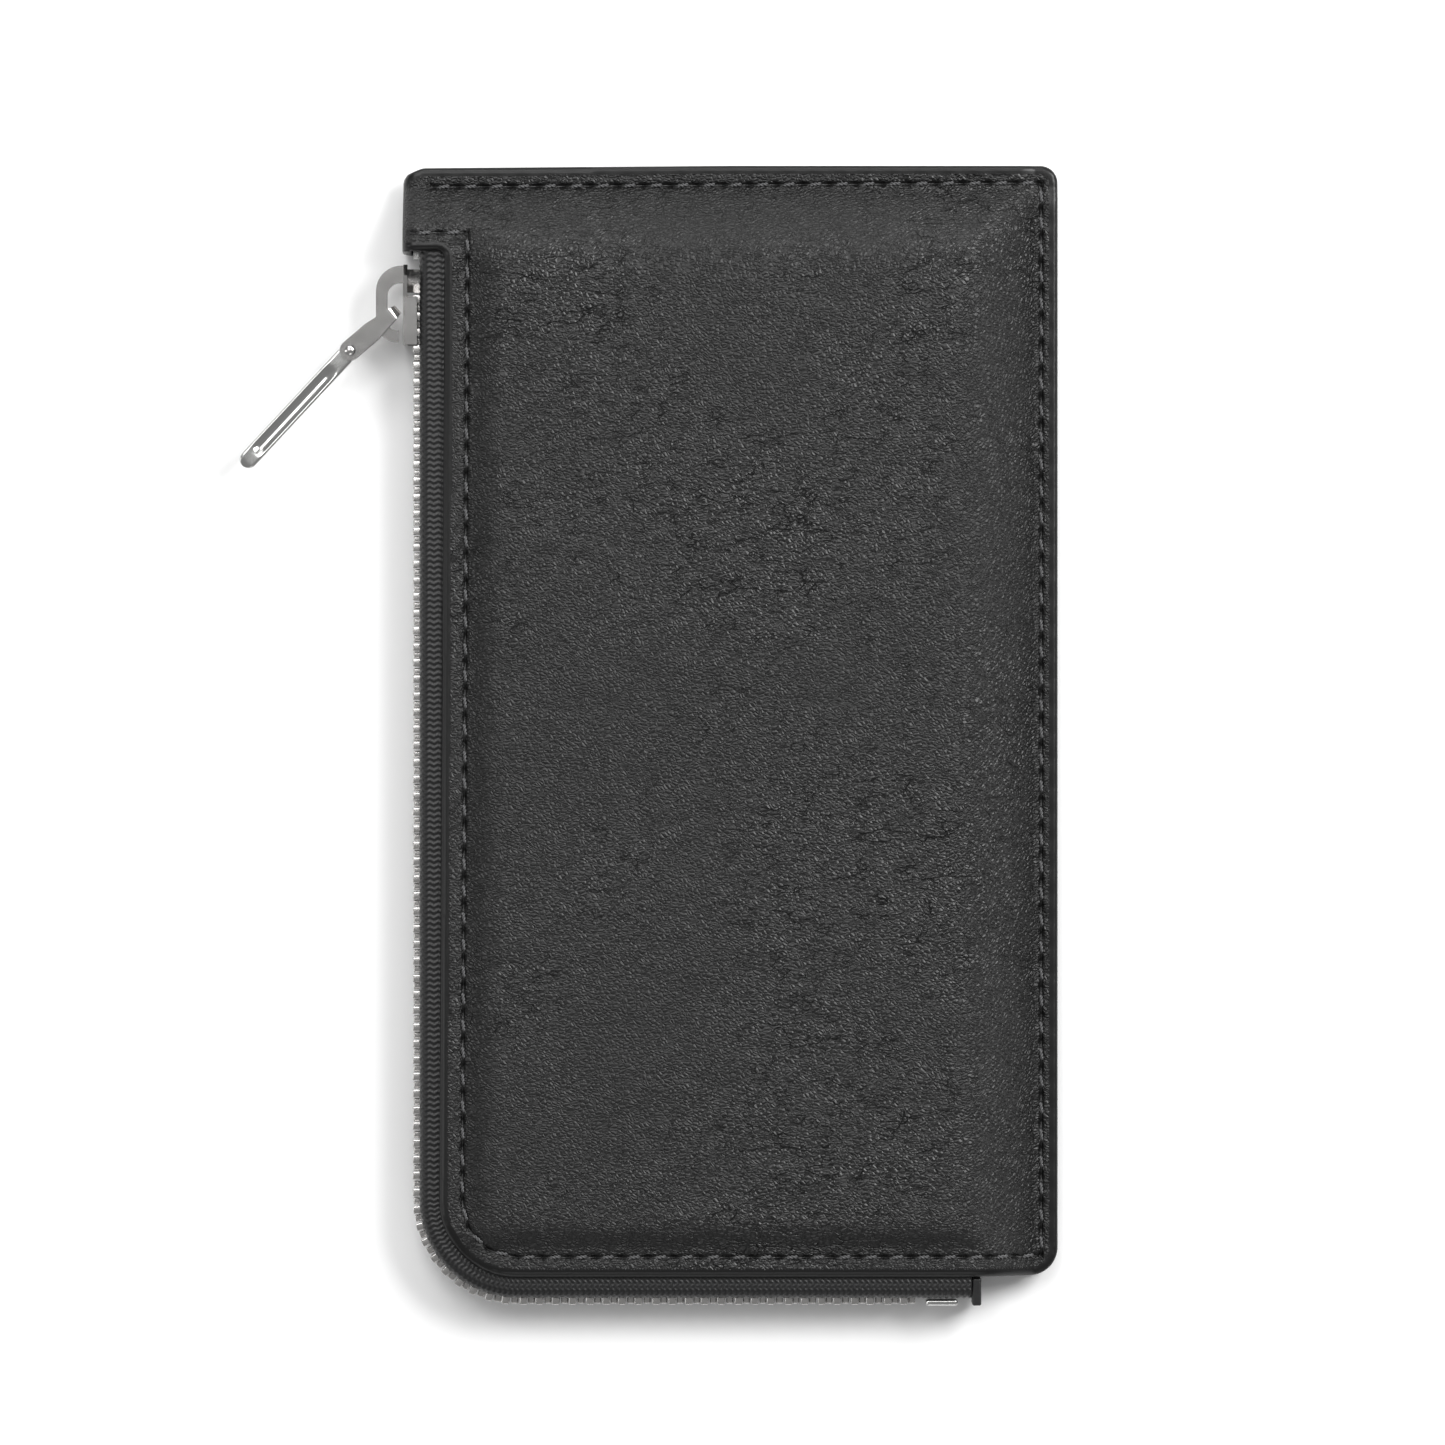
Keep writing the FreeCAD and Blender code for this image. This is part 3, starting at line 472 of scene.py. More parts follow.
def seam_distance(points, stitches):
    """Distance from each point to the nearest stitch's line."""
    starts = np.array([start for start, _ in stitches])
    runs = np.array([end - start for start, end in stitches])
    lengths = (runs ** 2).sum(1)
    out = np.empty(len(points))
    for first in range(0, len(points), BATCH):
        p = points[first:first + BATCH, None]
        t = np.clip(((p - starts) * runs).sum(2) / lengths, 0, 1)
        out[first:first + BATCH] = np.sqrt(((starts + t[..., None] * runs - p) ** 2).sum(2)).min(1)
    return out


PUCKER_REACH = 4.7
CHANNEL_DEPTH, CHANNEL_WIDTH = 0.34, 0.24
DIP_DEPTH, DIP_WIDTH, DIP_LENGTH = 0.12, 1.5, 1.1
HOLE_DEPTH, HOLE_RADIUS, HOLE_SHARE = 0.5, 0.3, 0.88


def pucker(x, y, stitches):
    """How far stitching pulls the leather down: a channel, a wider dip and a hole at each end."""
    sink = np.zeros(len(x))
    for start, end in stitches:
        middle = (start + end) / 2
        near = np.flatnonzero(np.maximum(np.abs(x - middle[0]), np.abs(y - middle[1])) < PUCKER_REACH)
        if not len(near):
            continue
        px, py = x[near] - middle[0], y[near] - middle[1]
        heading = (end - start) / np.linalg.norm(end - start)
        along = px * heading[0] + py * heading[1]
        side = -px * heading[1] + py * heading[0]
        channel = CHANNEL_DEPTH * np.exp(-(side / CHANNEL_WIDTH) ** 2) * np.exp(-(along / 2.0) ** 8)
        dip = DIP_DEPTH * np.exp(-(side / DIP_WIDTH) ** 2 - (along / DIP_LENGTH) ** 2)
        holes = 0
        for stitch_end in (start, end):
            hole_x, hole_y = (stitch_end - middle) * HOLE_SHARE
            away = (px - hole_x) ** 2 + (py - hole_y) ** 2
            holes = holes + HOLE_DEPTH * np.exp(-away / HOLE_RADIUS ** 2)
        sink[near] += channel + dip + holes
    return sink


# ---------------------------------------------------------------- mesh helpers
def make_object(name, vertices, faces, materials, face_material=None, shade_smooth=True):
    """A mesh object in the frame from millimetre points."""
    mesh = bpy.data.meshes.new(name)
    mesh.from_pydata((np.asarray(vertices) * M).tolist(), [], [list(map(int, f)) for f in faces])
    for material in materials:
        mesh.materials.append(material)
    if face_material is not None:
        mesh.polygons.foreach_set("material_index", np.asarray(face_material, dtype=np.int32))
    if shade_smooth:
        mesh.polygons.foreach_set("use_smooth", [True] * len(mesh.polygons))
    mesh.update()
    made = bpy.data.objects.new(name, mesh)
    bpy.context.scene.collection.objects.link(made)
    return made


def face_outward(item):
    """Turn a closed mesh's faces to point out."""
    mesh = bmesh.new()
    mesh.from_mesh(item.data)
    bmesh.ops.recalc_face_normals(mesh, faces=mesh.faces)
    mesh.to_mesh(item.data)
    mesh.free()


def fill_outline(outline, step, seam=None):
    """Triangles over a closed outline, with an even grid and rows beside any seam inside it."""
    low, high = outline.min(0), outline.max(0)
    xs = np.arange(low[0] + step / 2, high[0], step)
    ys = np.arange(low[1] + step / 2, high[1], step * 0.866)
    grid = np.array([(x + (step / 2 if j % 2 else 0), y) for j, y in enumerate(ys) for x in xs])
    grid = grid[edge_distance(grid, outline) > step * 0.55]
    if seam is not None:
        clear = seam_distance(grid, seam) > GROOVE_ROWS[-1] + step * 0.4
        rows = seam_rows(seam)
        rows = rows[edge_distance(rows, outline) > step * 0.4]
        grid = np.vstack([grid[clear], rows])
    points = np.vstack([outline, grid])
    count = len(outline)
    flat, _, faces, _, _, _ = delaunay_2d_cdt(
        [Vector(p) for p in points], [], [list(range(count))], 1, 1e-6
    )
    return np.array([(p.x, p.y) for p in flat]), faces, count


SIDE_BULGE, SIDE_SHARES = 0.09, (0.33, 0.66)


def leather_sheet(name, outline, step, surface, thickness, materials, painted=0.0, seam=None):
    """A sheet with a top face, an under face and a rounded side, placed by surface(x, y, depth).

    The second material, if there is one, covers the side and a painted border, and is laid in the seam's
    groove as painted shade.
    """
    flat, faces, count = fill_outline(outline, step, seam)
    gap = edge_distance(flat, outline)
    gap[:count] = 0.0
    top = surface(flat, np.abs(gap), 0.0)
    under = surface(flat, np.abs(gap), thickness)
    total = len(flat)
    triangles = [list(f) for f in faces]
    top_slots = [1 if painted and np.mean(np.abs(gap[f])) < painted else 0 for f in faces]
    if seam is not None:
        # Faces along the seam's groove take the dark edge paint as painted shade.
        middles = np.array([flat[f].mean(0) for f in triangles])
        painted_groove_shade = seam_distance(middles, seam) < GROOVE_HALF
        top_slots = [1 if painted_shade else slot for painted_shade, slot in zip(painted_groove_shade, top_slots)]
    flipped = [[v + total for v in reversed(f)] for f in triangles]

    run = np.roll(outline, -1, axis=0) - np.roll(outline, 1, axis=0)
    outward = np.stack([run[:, 1], -run[:, 0]], 1) / np.linalg.norm(run, axis=1)[:, None]
    rings = []
    for share in SIDE_SHARES:
        ring = top[:count] * (1 - share) + under[:count] * share
        ring[:, :2] += outward * SIDE_BULGE
        rings.append(ring)
    loops = [0, 2 * total, 2 * total + count, total]
    sides = []
    for a, b in zip(loops, loops[1:]):
        for i in range(count):
            j = (i + 1) % count
            sides.append([a + j, a + i, b + i, b + j])
    side_slot = 1 if len(materials) > 1 else 0
    slots = top_slots + [0] * len(flipped) + [side_slot] * len(sides)
    return make_object(name, np.vstack([top, under, *rings]), triangles + flipped + sides, materials, slots)


# ---------------------------------------------------------------- leather
WRAP_RADIUS = 1.9
FLAT_END = WRAP + WRAP_RADIUS
QUARTER = WRAP_RADIUS * math.pi / 2
LEAST_DROP = 0.2


def wrap_round(points, height, depth):
    """Bend the tab's flat overhang: a quarter turn, straight down, and a quarter turn under."""
    x, y = points[:, 0], points[:, 1]
    past = np.maximum(FLAT_END - x, 0)
    drop = np.maximum(height - 2 * WRAP_RADIUS, LEAST_DROP)
    reach = WRAP_RADIUS - depth
    angle = np.clip(past / WRAP_RADIUS, 0, math.pi / 2)
    px = np.where(past > 0, FLAT_END - reach * np.sin(angle), x)
    pz = np.where(past > 0, height - WRAP_RADIUS + reach * np.cos(angle), height - depth)
    pz = pz - np.clip(past - QUARTER, 0, drop)
    under = past > QUARTER + drop
    angle = np.clip((past - QUARTER - drop) / WRAP_RADIUS, 0, math.pi / 2)
    px = np.where(under, FLAT_END - reach * np.cos(angle), px)
    pz = np.where(under, height - WRAP_RADIUS - drop - reach * np.sin(angle), pz)
    return np.stack([px, y, pz], 1)


LUMP_HEIGHT, FOLD_HEIGHT = 0.25, 0.08
SEWN_ROUND, FREE_ROUND = 0.45, 0.95


def round_over(gap, width):
    """How far an edge falls away, as a quarter circle over a width."""
    t = np.clip(gap / width, 0, 1)
    return 1 - np.sqrt(np.clip(1 - (1 - t) ** 2, 0, 1))


def front_surface(flat, gap, depth):
    """Place of the front leather, padded, puckered and rounded over at its edges."""
    x, y = flat[:, 0], flat[:, 1]
    inside_x = np.maximum(x, WRAP)
    height = front_height(inside_x, y)
    lumps = np.array([noise.noise(Vector((px * 0.05, py * 0.05, 3.0))) for px, py in flat])
    folds = np.array([
        noise.turbulence(Vector((px * 0.07, py * 0.21 + px * 0.06, 9.0)), 4, False) for px, py in flat
    ])
    away = smooth((gap - 3.0) / 6.0)
    height = height + lumps * LUMP_HEIGHT * away + (folds - 0.35) * FOLD_HEIGHT * away
    if depth == 0.0:
        width = np.where((x > RIGHT - 3.5) | (y > TOP - 3.0), SEWN_ROUND, FREE_ROUND)
        height = height - pucker(x, y, FRONT_STITCHES) - width * 0.62 * round_over(gap, width)
    return wrap_round(flat, height, depth)


# The front's outline, laid flat. The tab's overhang is long enough to reach round under the wallet.
BOTTOM_ROUND, TOP_ROUND = 4.0, 2.4
tab_reach = WRAP_RADIUS * math.pi + EDGE - 2 * WRAP_RADIUS
short_reach = WRAP_RADIUS * math.pi + max(SEAM - 2 * WRAP_RADIUS, LEAST_DROP)
FRONT_OUTLINE = rounded_outline([
    (panel_left(BOTTOM), BOTTOM, ZIP_CORNER),
    (RIGHT, BOTTOM, BOTTOM_ROUND),
    (RIGHT, TOP, TOP_ROUND),
    (0.0, TOP, 0.0),
    (FLAT_END + 1.0, TOP - 0.35, 2.0),
    (FLAT_END - 1.3, TOP - 1.2, 1.0),
    (FLAT_END - QUARTER, TOP - 2.6, 1.0),
    (FLAT_END - short_reach, TOP - 3.4, 0.0),
    (FLAT_END - short_reach, TOP - 5.0, 0.0),
    (FLAT_END - tab_reach, TAB + 1.2, 0.6),
    (FLAT_END - tab_reach, TAB, 0.6),
    (panel_left(TAB), TAB + 0.5, 1.3),
])
FRONT_STEP = 0.42
FRONT_PAINT, BACK_PAINT = 1.15, 0.6
front = leather_sheet(
    "front_leather", FRONT_OUTLINE, FRONT_STEP, front_surface, LEATHER, [LEATHER_SKIN, EDGE_PAINT],
    FRONT_PAINT, FRONT_STITCHES,
)
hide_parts("front_panel", "front_flap")
bend_with_flap(front)


FLOOR_GAP, BACK_LIFT, BACK_ROUND = 0.02, 0.5, 0.8


def back_surface(flat, gap, depth):
    """Place of the back leather: flat on the floor, with rounded edges and sunk stitches."""
    x, y = flat[:, 0], flat[:, 1]
    z = np.full(len(x), FLOOR_GAP) + depth
    if depth == 0.0:
        z = z + BACK_LIFT * round_over(gap, BACK_ROUND) + pucker(x, y, BACK_STITCHES)
    return np.stack([x, y, z], 1)


BACK_LEFT = BACK_LOW[0] + 4.46
BACK_OUTLINE = rounded_outline([
    (BACK_LEFT, BOTTOM, ZIP_CORNER),
    (RIGHT, BOTTOM, BOTTOM_ROUND),
    (RIGHT, TOP, TOP_ROUND),
    (FLAT_END + 0.4, TOP - 0.8, 2.4),
    (FLAT_END + 0.1, TAB, 0.0),
    (BACK_LEFT, TAB, 0.8),
])
back = leather_sheet(
    "back_leather", BACK_OUTLINE, 1.0, back_surface, LEATHER, [LEATHER_SKIN, EDGE_PAINT], BACK_PAINT
)
back.data.flip_normals()
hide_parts("back_panel")
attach(back, "root")


# ---------------------------------------------------------------- thread
THREAD_RADIUS, PLY_OFFSET = 0.2, 0.124
STITCH_SHARE, STITCH_DIP = 0.46, 0.5


def thread_mesh(name, stitches, height, up):
    """Two-ply twisted stitches that dip into their holes. up is 1 on a face that looks up, or -1."""
    vertices, faces = [], []
    rings, sides, turns = 13, 7, 1.6
    for start, end in stitches:
        middle, run = (start + end) / 2, end - start
        reach = np.linalg.norm(run) * STITCH_SHARE / 2
        slant = 0.1 + random.uniform(-0.04, 0.04)
        heading = turned(run / np.linalg.norm(run), slant)
        side = np.array([-heading[1], heading[0]])
        ends = height(np.array([middle - heading * reach, middle, middle + heading * reach]))
        for ply in (0, math.pi):
            base = len(vertices)
            for i in range(rings):
                t = i / (rings - 1) * 2 - 1
                ground = ends[1] + (ends[2] - ends[0]) / 2 * t
                twist = ply + turns * math.pi * t
                across = math.cos(twist) * PLY_OFFSET
                rise = math.sin(twist) * PLY_OFFSET + THREAD_RADIUS * 0.55 - STITCH_DIP * abs(t) ** 5
                thin = THREAD_RADIUS * (1 - 0.35 * abs(t) ** 3) * 0.8
                for k in range(sides):
                    a = 2 * math.pi * k / sides
                    flat = middle + heading * (reach * t) + side * (across + thin * math.cos(a))
                    vertices.append((flat[0], flat[1], ground + up * (rise + thin * math.sin(a))))
            for i in range(rings - 1):
                for k in range(sides):
                    a, b = base + i * sides + k, base + i * sides + (k + 1) % sides
                    faces.append([a, b, b + sides, a + sides])
            faces.append([base + k for k in reversed(range(sides))])
            faces.append([base + (rings - 1) * sides + k for k in range(sides)])
    made = make_object(name, vertices, faces, [THREAD])
    return made


FRONT_SINK, BACK_GROUND = 0.24, 0.42


def front_ground(points):
    """Height on which front stitches lie."""
    return front_height(points[:, 0], points[:, 1]) - FRONT_SINK


front_thread = thread_mesh("front_thread", FRONT_STITCHES, front_ground, 1)
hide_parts("front_stitching", "flap_stitching")
bend_with_flap(front_thread)
back_thread = thread_mesh(
    "back_thread", BACK_STITCHES, lambda points: np.full(len(points), BACK_GROUND), -1
)
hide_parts("back_stitching")
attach(back_thread, "root")


# ---------------------------------------------------------------- linings and boards under the front
SEWN_INSET = 0.6


def under_front(name, node_names, inset, drop, thickness, material):
    """A thin layer below the front leather. drop is down to its top face."""
    right, top = RIGHT - SEWN_INSET, TOP - SEWN_INSET
    outline = rounded_outline([
        (panel_left(BOTTOM) + inset, BOTTOM + inset, ZIP_CORNER - inset),
        (right, BOTTOM + inset, BOTTOM_ROUND - SEWN_INSET),
        (right, top, TOP_ROUND - SEWN_INSET),
        (panel_left(TOP) + inset, top, 1.0),
    ], 1.2)

    def surface(flat, gap, depth):
        low = front_height(flat[:, 0], flat[:, 1]) - drop - depth
        return np.stack([flat[:, 0], flat[:, 1], low], 1)

    made = leather_sheet(name, outline, 2.2, surface, thickness, [material])
    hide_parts(*node_names)
    bend_with_flap(made)
    return made


front_board = under_front(
    "front_stiffener", ("front_board", "flap_board"),
    inset=3.8, drop=LEATHER + 0.3, thickness=0.4, material=BOARD,
)
front_lining = under_front(
    "front_lining_cloth", ("front_lining", "flap_lining"),
    inset=0.9, drop=LEATHER + 0.8, thickness=0.25, material=LINING,
)


# ---------------------------------------------------------------- inner leaves
LEAF_EASE, LEAF_ROUND = 0.35, 0.5
MOUTH_CREASE, MOUTH_INSET = 0.12, 1.6


def leaf(name, source, material, corner=1.0, step=2.0):
    """A thin inner leaf in its CAD node's box, with eased edges and a creased mouth."""
    low, high = box_mm(source)
    outline = rounded_outline([
        (low[0], low[1], corner), (high[0], low[1], corner),
        (high[0], high[1], corner), (low[0], high[1], corner),
    ], 0.8)
    thick = high[2] - low[2]

    def surface(flat, gap, depth):
        ease = LEAF_EASE * thick * (1 - np.clip(gap / LEAF_ROUND, 0, 1)) ** 2
        mouth = MOUTH_CREASE * thick * np.exp(-((flat[:, 0] - low[0] - MOUTH_INSET) / 0.25) ** 2)
        z = high[2] - ease - mouth if depth == 0 else np.full(len(flat), low[2]) + ease
        return np.stack([flat[:, 0], flat[:, 1], z], 1)

    made = leather_sheet(name, outline, step, surface, thick, [material, EDGE_PAINT])
    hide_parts(source)
    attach(made, "root")
    return made


back_board = leaf("back_stiffener", "back_board", BOARD, corner=6.0, step=4.0)
back_lining = leaf("back_lining_cloth", "back_lining", LINING, corner=9.0, step=4.0)
leaf("divider", "divider_leaf", POCKET_SKIN, corner=3.0)
for number in range(4):
    leaf(f"pocket_{number + 1}", f"card_pocket_{number + 1}", POCKET_SKIN)
pocket_low, pocket_high = box_mm("pocket_stitching")
pocket_x = (pocket_low[0] + pocket_high[0]) / 2
pocket_thread = thread_mesh(
    "pocket_thread",
    run_points([((pocket_x, pocket_low[1]), (pocket_x, pocket_high[1]), None)]),
    lambda points: np.full(len(points), pocket_low[2]), 1,
)
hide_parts("pocket_stitching")
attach(pocket_thread, "root")


# ---------------------------------------------------------------- zip path
CHAIN_HALF, CHAIN_OFFSET = 1.15, 3.15
CHAIN_X = TEETH_LOW[0] + CHAIN_HALF
CHAIN_Y = TEETH_LOW[1] + CHAIN_HALF
CHAIN_RADIUS = ZIP_CORNER + CHAIN_OFFSET
CHAIN_TURN = CHAIN_RADIUS * math.pi / 2
CORNER = np.array([CHAIN_X + CHAIN_RADIUS, CHAIN_Y + CHAIN_RADIUS])


def zip_place(distance, top):
    """Place, and outward direction, of the chain's middle line below a starting height."""
    down = top - CORNER[1]
    if distance < down:
        return np.array([CHAIN_X, top - distance]), np.array([-1.0, 0.0])
    if distance < down + CHAIN_TURN:
        angle = (distance - down) / CHAIN_RADIUS
        out = np.array([-math.cos(angle), -math.sin(angle)])
        return CORNER + out * CHAIN_RADIUS, out
    return np.array([CORNER[0] + distance - down - CHAIN_TURN, CHAIN_Y]), np.array([0.0, -1.0])


# ---------------------------------------------------------------- tapes
TAPE_HIDDEN, TAPE_BEND_START, TAPE_BEND = -6.4, -1.3, 1.3
TAPE_DROP, TAPE_MOUTH = 0.3, 0.95


def tape_profile(sign):
    """The tape cut across, from under the leather to between the teeth: (outward, height)."""
    flat = MIDDLE + sign * (EDGE / 2 - LEATHER - TAPE_DROP)
    line = [(TAPE_HIDDEN, flat), (TAPE_BEND_START, flat)]
    steps = 8
    for k in range(1, steps + 1):
        angle = k / steps * math.pi / 2
        fall = TAPE_BEND - TAPE_BEND * math.cos(angle)
        line.append((TAPE_BEND_START + TAPE_BEND * math.sin(angle), flat - sign * fall))
    line.append((line[-1][0], MIDDLE + sign * TAPE_MOUTH))
    return np.array(line)


RIB_WIDTH, BEAD_PITCH, BEAD_RELIEF = 0.62, 0.82, 0.12
TAPE_THICK = 0.36
STEP_ALONG, STEP_ACROSS = 0.17, 0.15


def weave(along, across):
    """Relief of the tape from 0 to 1: columns of slanting beads."""
    rib = math.floor(across / RIB_WIDTH)
    lean = 1 if rib % 2 else -1
    thread = math.cos(2 * math.pi * (along / BEAD_PITCH + lean * across / RIB_WIDTH * 0.5))
    between = abs(((across / RIB_WIDTH) % 1) - 0.5) * 2
    return math.sqrt(max(thread, 0.0)) * (1 - between ** 4)


def tape(name, source, sign):
    """One zip tape with its weave in relief."""
    line = tape_profile(sign)
    run = np.concatenate([[0], np.cumsum(np.linalg.norm(np.diff(line, axis=0), axis=1))])
    dense = np.linspace(0, run[-1], int(run[-1] / STEP_ACROSS))
    out = np.interp(dense, run, line[:, 0])
    high = np.interp(dense, run, line[:, 1])
    slope_out, slope_high = np.gradient(out), np.gradient(high)
    norm = np.hypot(slope_out, slope_high)
    normal_out, normal_high = -slope_high / norm, slope_out / norm

    # Rings of points along the zip: the woven face's columns, then the plain face's.
    end_x, top = TAPE_HIGH[:2]
    total = (top - CORNER[1]) + CHAIN_TURN + (end_x - CORNER[0])
    rings = int(total / STEP_ALONG)
    columns = len(dense)
    vertices = []
    for i in range(rings + 1):
        distance = total * i / rings
        spot, outward = zip_place(distance, top)
        woven = [BEAD_RELIEF * weave(distance, across) for across in dense]
        for relief in (np.array(woven), np.full(columns, -TAPE_THICK)):
            place = spot + outward * (out + normal_out * relief * sign)[:, None]
            vertices.append(np.column_stack([place, high + normal_high * relief * sign]))

    faces = []
    ring = 2 * columns
    for i in range(rings):
        a, b = i * ring, i * ring + columns
        for j in range(columns - 1):
            faces.append([a + j, a + j + 1, a + ring + j + 1, a + ring + j])
            faces.append([b + j + 1, b + j, b + ring + j, b + ring + j + 1])
        for j in (0, columns - 1):
            faces.append([a + j, a + ring + j, b + ring + j, b + j])
    for a in (0, rings * ring):
        faces += [[a + j, a + columns + j, a + columns + j + 1, a + j + 1] for j in range(columns - 1)]
    made = make_object(name, np.vstack(vertices), faces, [TAPE_WEAVE])
    face_outward(made)
    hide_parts(source)
    return made


front_tape = tape("front_zip_tape", "front_tape", 1)
bend_with_flap(front_tape)
back_tape = tape("back_zip_tape", "back_tape", -1)
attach(back_tape, "root")


# ---------------------------------------------------------------- teeth
TOOTH_PITCH, HALF_TOOTH, TOOTH_BEVEL = 2.4, 0.525, 0.17
LAST_TOOTH_INSET = 0.2

# A tooth's two ends, clamped foot and meshing head: width, length along the chain and height.
TOOTH_FOOT, TOOTH_HEAD = (2.15, 1.1, 2.25), (1.95, 0.95, -0.75)


def tooth_mesh(sign):
    """One rounded tooth in its own frame: X outward, Y along the chain, Z across the chain."""
    made = bmesh.new()
    bmesh.ops.create_cube(made, size=1.0)
    for v in made.verts:
        width, length, height = TOOTH_FOOT if v.co.z > 0 else TOOTH_HEAD
        v.co.x *= width
        v.co.y *= length
        v.co.z = height * sign
    if sign < 0:
        bmesh.ops.reverse_faces(made, faces=made.faces)
    bmesh.ops.bevel(
        made, geom=made.edges[:], offset=TOOTH_BEVEL, segments=3, profile=0.6, affect="EDGES"
    )
    points = np.array([v.co for v in made.verts])
    made.verts.index_update()
    faces = [[v.index for v in f.verts] for f in made.faces]
    made.free()
    return points, faces


def teeth(name, source, sign, first):
    """A whole row of teeth, each a little different in how it sits."""
    points, faces = tooth_mesh(sign)
    start = TEETH_HIGH[1] - HALF_TOOTH
    last_x = box_mm(source)[1][0] - LAST_TOOTH_INSET
    vertices, quads = [], []
    distance = first
    while True:
        spot, out = zip_place(distance, start)
        if out[1] < -0.999 and spot[0] > last_x:
            break
        along = np.array([-out[1], out[0]])
        lean = random.uniform(-0.05, 0.05)
        base = len(vertices)
        for x, y, z in points:
            place = spot + out * x + along * (y + lean * z)
            vertices.append((place[0], place[1], MIDDLE + z))
        quads += [[base + v for v in f] for f in faces]
        distance += TOOTH_PITCH
    made = make_object(name, vertices, quads, [TOOTH_METAL])
    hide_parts(source)
    return made


front_teeth = teeth("front_tooth_row", "front_teeth", 1, 0.0)
bend_with_flap(front_teeth)
back_teeth = teeth("back_tooth_row", "back_teeth", -1, TOOTH_PITCH / 2)
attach(back_teeth, "root")


# ---------------------------------------------------------------- carried-over metal and trim
def dress(source, material, ease):
    """Give a CAD node its material and soften its corners by an ease."""
    item = frame["nodes"][source]
    item.data.materials.clear()
    item.data.materials.append(material)
    if ease:
        soft = item.modifiers.new("Soften", "BEVEL")
        soft.width = ease * M
        soft.segments = 3
        soft.limit_method = "ANGLE"
        soft.angle_limit = math.radians(35)
        soft.harden_normals = True


dress("slider_body", NICKEL, 0.2)
dress("slider_loop", NICKEL, 0.42)
dress("pull_link", NICKEL, 0.16)
dress("link_rivet", NICKEL, 0)
dress("bottom_stop", SATIN, 0)
dress("top_stops", SATIN, 0.1)
dress("folded_tape_end", TAPE_WEAVE, 0)


# ---------------------------------------------------------------- pull
PIN = np.array(joint_named("tab_pivot")["pos_m"]) / M
PULL_TURN = math.radians(47.1)
PULL_HALF, PULL_THICK, PULL_LENGTH = 1.3, 0.8, 22.9
BAR_START, BAR_EASE, TIP_EASE, TIP_REACH = 1.0, 0.22, 0.25, 1.2
SCOOP_START, SCOOP_END, SCOOP_DEPTH, RIM = 3.2, 20.6, 0.42, 0.3
TIP_START = PULL_LENGTH - 1.4

# The eye's section, as (radius, height) on its upper half.
EYE_INNER, EYE_OUTER, EYE_SIDES = 0.74, 1.28, 40
EYE_ARC = [(EYE_OUTER, 0.65), (EYE_OUTER - 0.15, 0.8), (EYE_INNER + 0.1, 0.8), (EYE_INNER, 0.7)]
EYE_SECTION = [(radius, -height) for radius, height in EYE_ARC[::-1]] + EYE_ARC


def bar_section(at):
    """One closed section across the pull: (sideways, height), scooped on top, eased all round."""
    left = PULL_LENGTH - at
    half = PULL_HALF * math.sqrt(max(1 - max(1 - left / PULL_HALF, 0) ** 2, 0.004))
    scoop = float(smooth((at - SCOOP_START) / 2.2) * smooth((SCOOP_END - at) / 1.6))
    tip = TIP_EASE * max(1 - left / TIP_REACH, 0) ** 2
    top, under = [], []
    for share in np.linspace(-1, 1, 17):
        side = share * half
        from_edge = half - abs(side)
        ease = BAR_EASE * max(1 - from_edge / BAR_EASE, 0) ** 2 + tip
        inner = np.clip((from_edge - RIM) / max(half - RIM, 0.1), 0, 1)
        hollow = SCOOP_DEPTH * scoop * math.sin(inner * math.pi / 2)
        top.append((side, PULL_THICK - ease - hollow))
        under.append((side, -PULL_THICK + ease))
    return top + under[::-1]


def pull_bar():
    """The pull: a slim scooped bar and the eye that turns on the link's rivet."""
    vertices, faces = [], []
    cos, sin = math.cos(PULL_TURN), math.sin(PULL_TURN)

    def place(along, side, height):
        x, y, z = PIN
        vertices.append((x - along * cos - side * sin, y - along * sin + side * cos, z + height))

    body = np.linspace(BAR_START, TIP_START, 90)
    tip = PULL_LENGTH - (PULL_LENGTH - TIP_START) * np.geomspace(0.95, 0.01, 16)
    stations = [*body, *tip]
    for at in stations:
        section = bar_section(at)
        for side, height in section:
            place(at, side, height)
    count = len(section)
    for i in range(len(stations) - 1):
        for k in range(count):
            a, b = i * count + k, i * count + (k + 1) % count
            faces.append([a, b, b + count, a + count])
    faces.append(list(range(count))[::-1])
    faces.append([(len(stations) - 1) * count + k for k in range(count)])

    eye = len(vertices)
    for k in range(EYE_SIDES):
        angle = 2 * math.pi * k / EYE_SIDES
        for radius, height in EYE_SECTION:
            place(radius * math.cos(angle), radius * math.sin(angle), height)
    count = len(EYE_SECTION)
    for k in range(EYE_SIDES):
        here, beyond = eye + k * count, eye + (k + 1) % EYE_SIDES * count
        for j in range(count):
            following = (j + 1) % count
            faces.append([here + j, here + following, beyond + following, beyond + j])
    made = make_object("pull_bar", vertices, faces, [SATIN])
    face_outward(made)
    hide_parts("pull_tab")
    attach(made, "pull")


pull_bar()


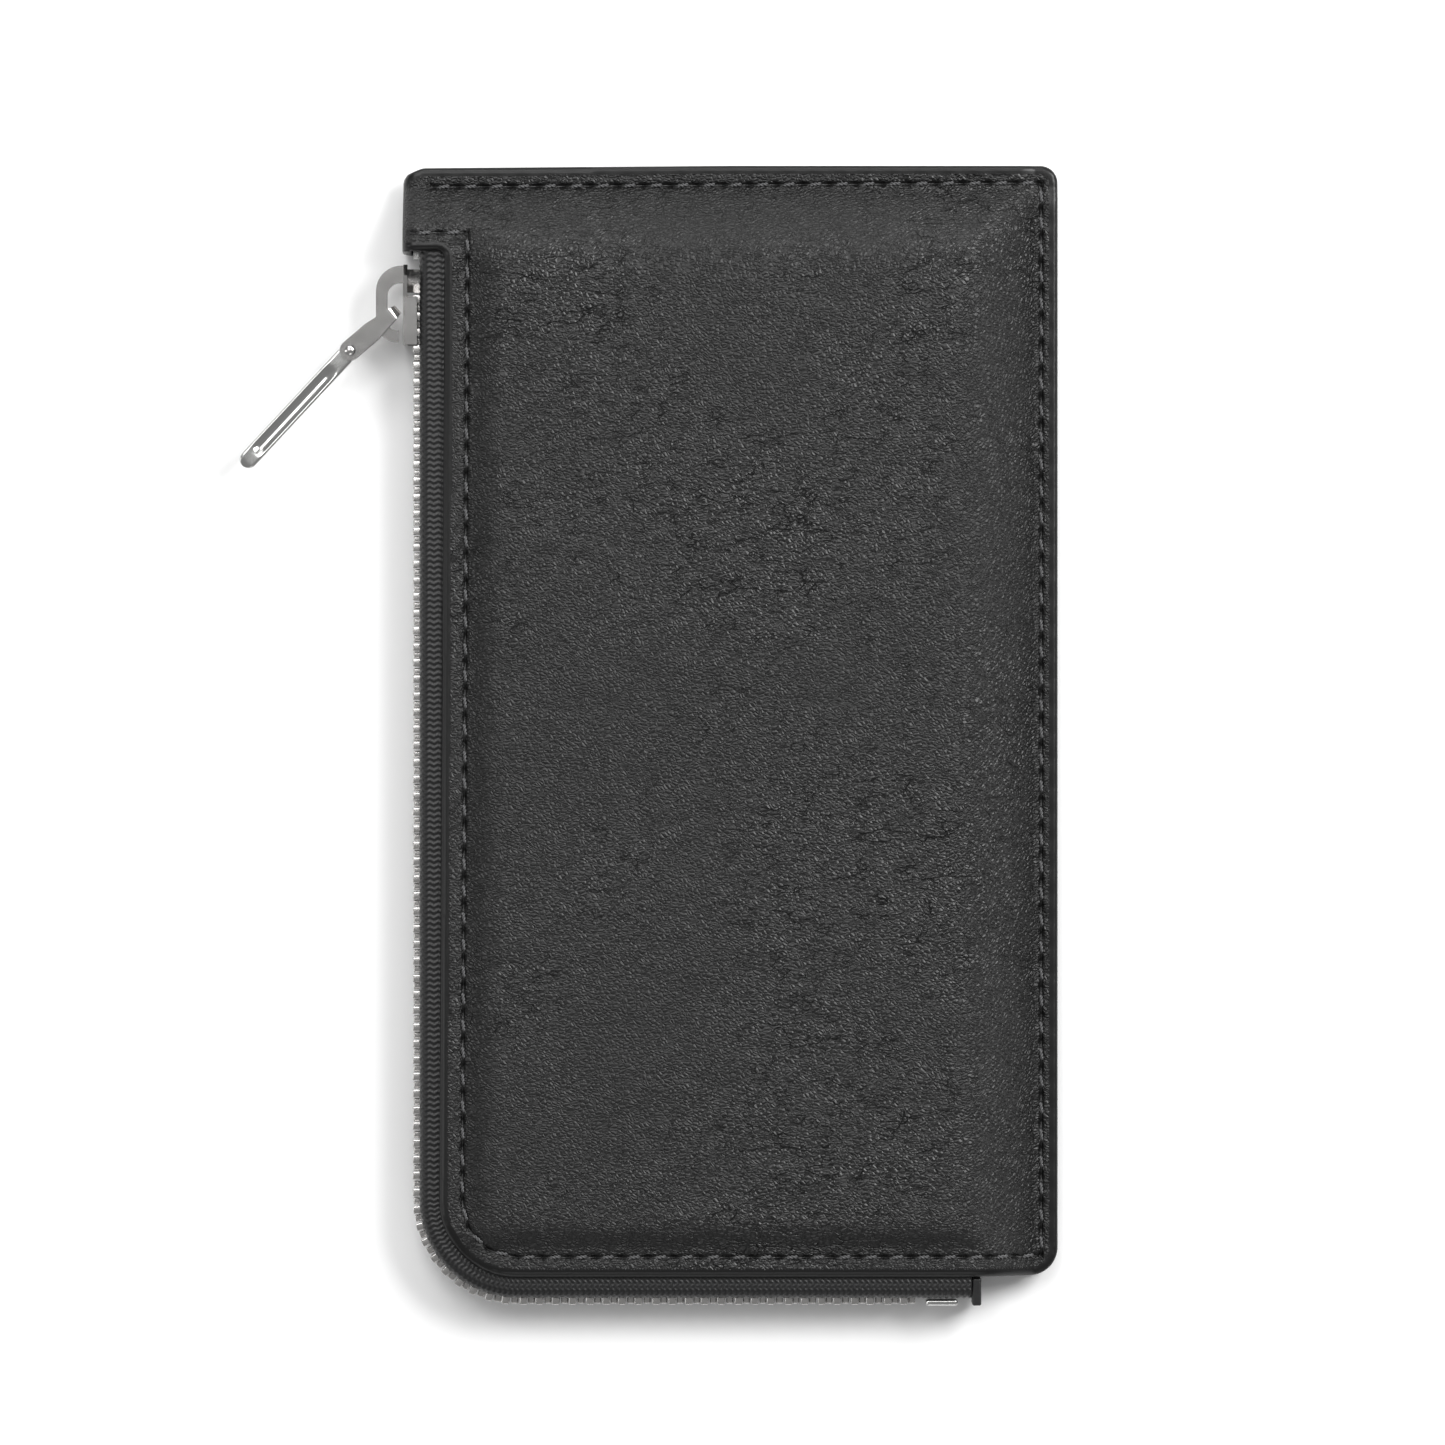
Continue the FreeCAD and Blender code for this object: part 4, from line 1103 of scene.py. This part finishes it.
# ---------------------------------------------------------------- stage
def area_light(name, place, target, size_m, power, shape=(1, 1)):
    """A soft rectangular light."""
    data = bpy.data.lights.new(name, "AREA")
    data.shape = "RECTANGLE"
    data.size, data.size_y = size_m * shape[0], size_m * shape[1]
    data.energy = power
    lamp = bpy.data.objects.new(name, data)
    lamp.location = place
    lamp.rotation_euler = (Vector(target) - Vector(place)).to_track_quat("-Z", "Y").to_euler()
    bpy.context.scene.collection.objects.link(lamp)


FLOOR_HALF = 3000
floor_paper, _, _ = new_material("floor_paper", (0.9, 0.9, 0.9), 0.9, 0.0, 0.1)
floor_corners = [(x * FLOOR_HALF, y * FLOOR_HALF, 0) for x, y in ((-1, -1), (1, -1), (1, 1), (-1, 1))]
floor = make_object("floor", floor_corners, [[0, 1, 2, 3]], [floor_paper])

world = bpy.data.worlds.new("studio")
bpy.context.scene.world = world
world.use_nodes = True
sky = world.node_tree.nodes["Background"]
sky.inputs["Color"].default_value = (1, 1, 1, 1)
sky.inputs["Strength"].default_value = 0.3
area_light("key", (0.55, 0.36, 0.66), (0, 0, 0), size_m=0.44, power=8.5)
area_light("overhead", (-0.3, 0.55, 1.25), (0, 0, 0), size_m=0.7, power=7.5)
area_light("top_strip", (-0.1, 0.95, 0.62), (0, 0.04, 0), size_m=0.42, power=5.0, shape=(2.2, 0.5))
area_light("left_fill", (-0.9, -0.1, 0.5), (0, 0, 0), size_m=0.4, power=1.4, shape=(0.6, 1.4))
area_light("low_fill", (0.1, -1.0, 0.6), (0, 0, 0), size_m=0.4, power=1.2, shape=(1.6, 0.6))

FRAME_WIDTH, SENSOR = 0.2105, 36.0
CAMERA_X, CAMERA_Y, DISTANCE = -0.0011, -0.0003, 1.6
camera_data = bpy.data.cameras.new("camera")
camera_data.sensor_width = SENSOR
camera_data.lens = SENSOR * DISTANCE / FRAME_WIDTH
camera_data.clip_end = 10.0
camera = bpy.data.objects.new("camera", camera_data)
camera.location = (CAMERA_X, CAMERA_Y, DISTANCE)
bpy.context.scene.collection.objects.link(camera)
bpy.context.scene.camera = camera
bpy.context.scene.view_settings.view_transform = "Standard"
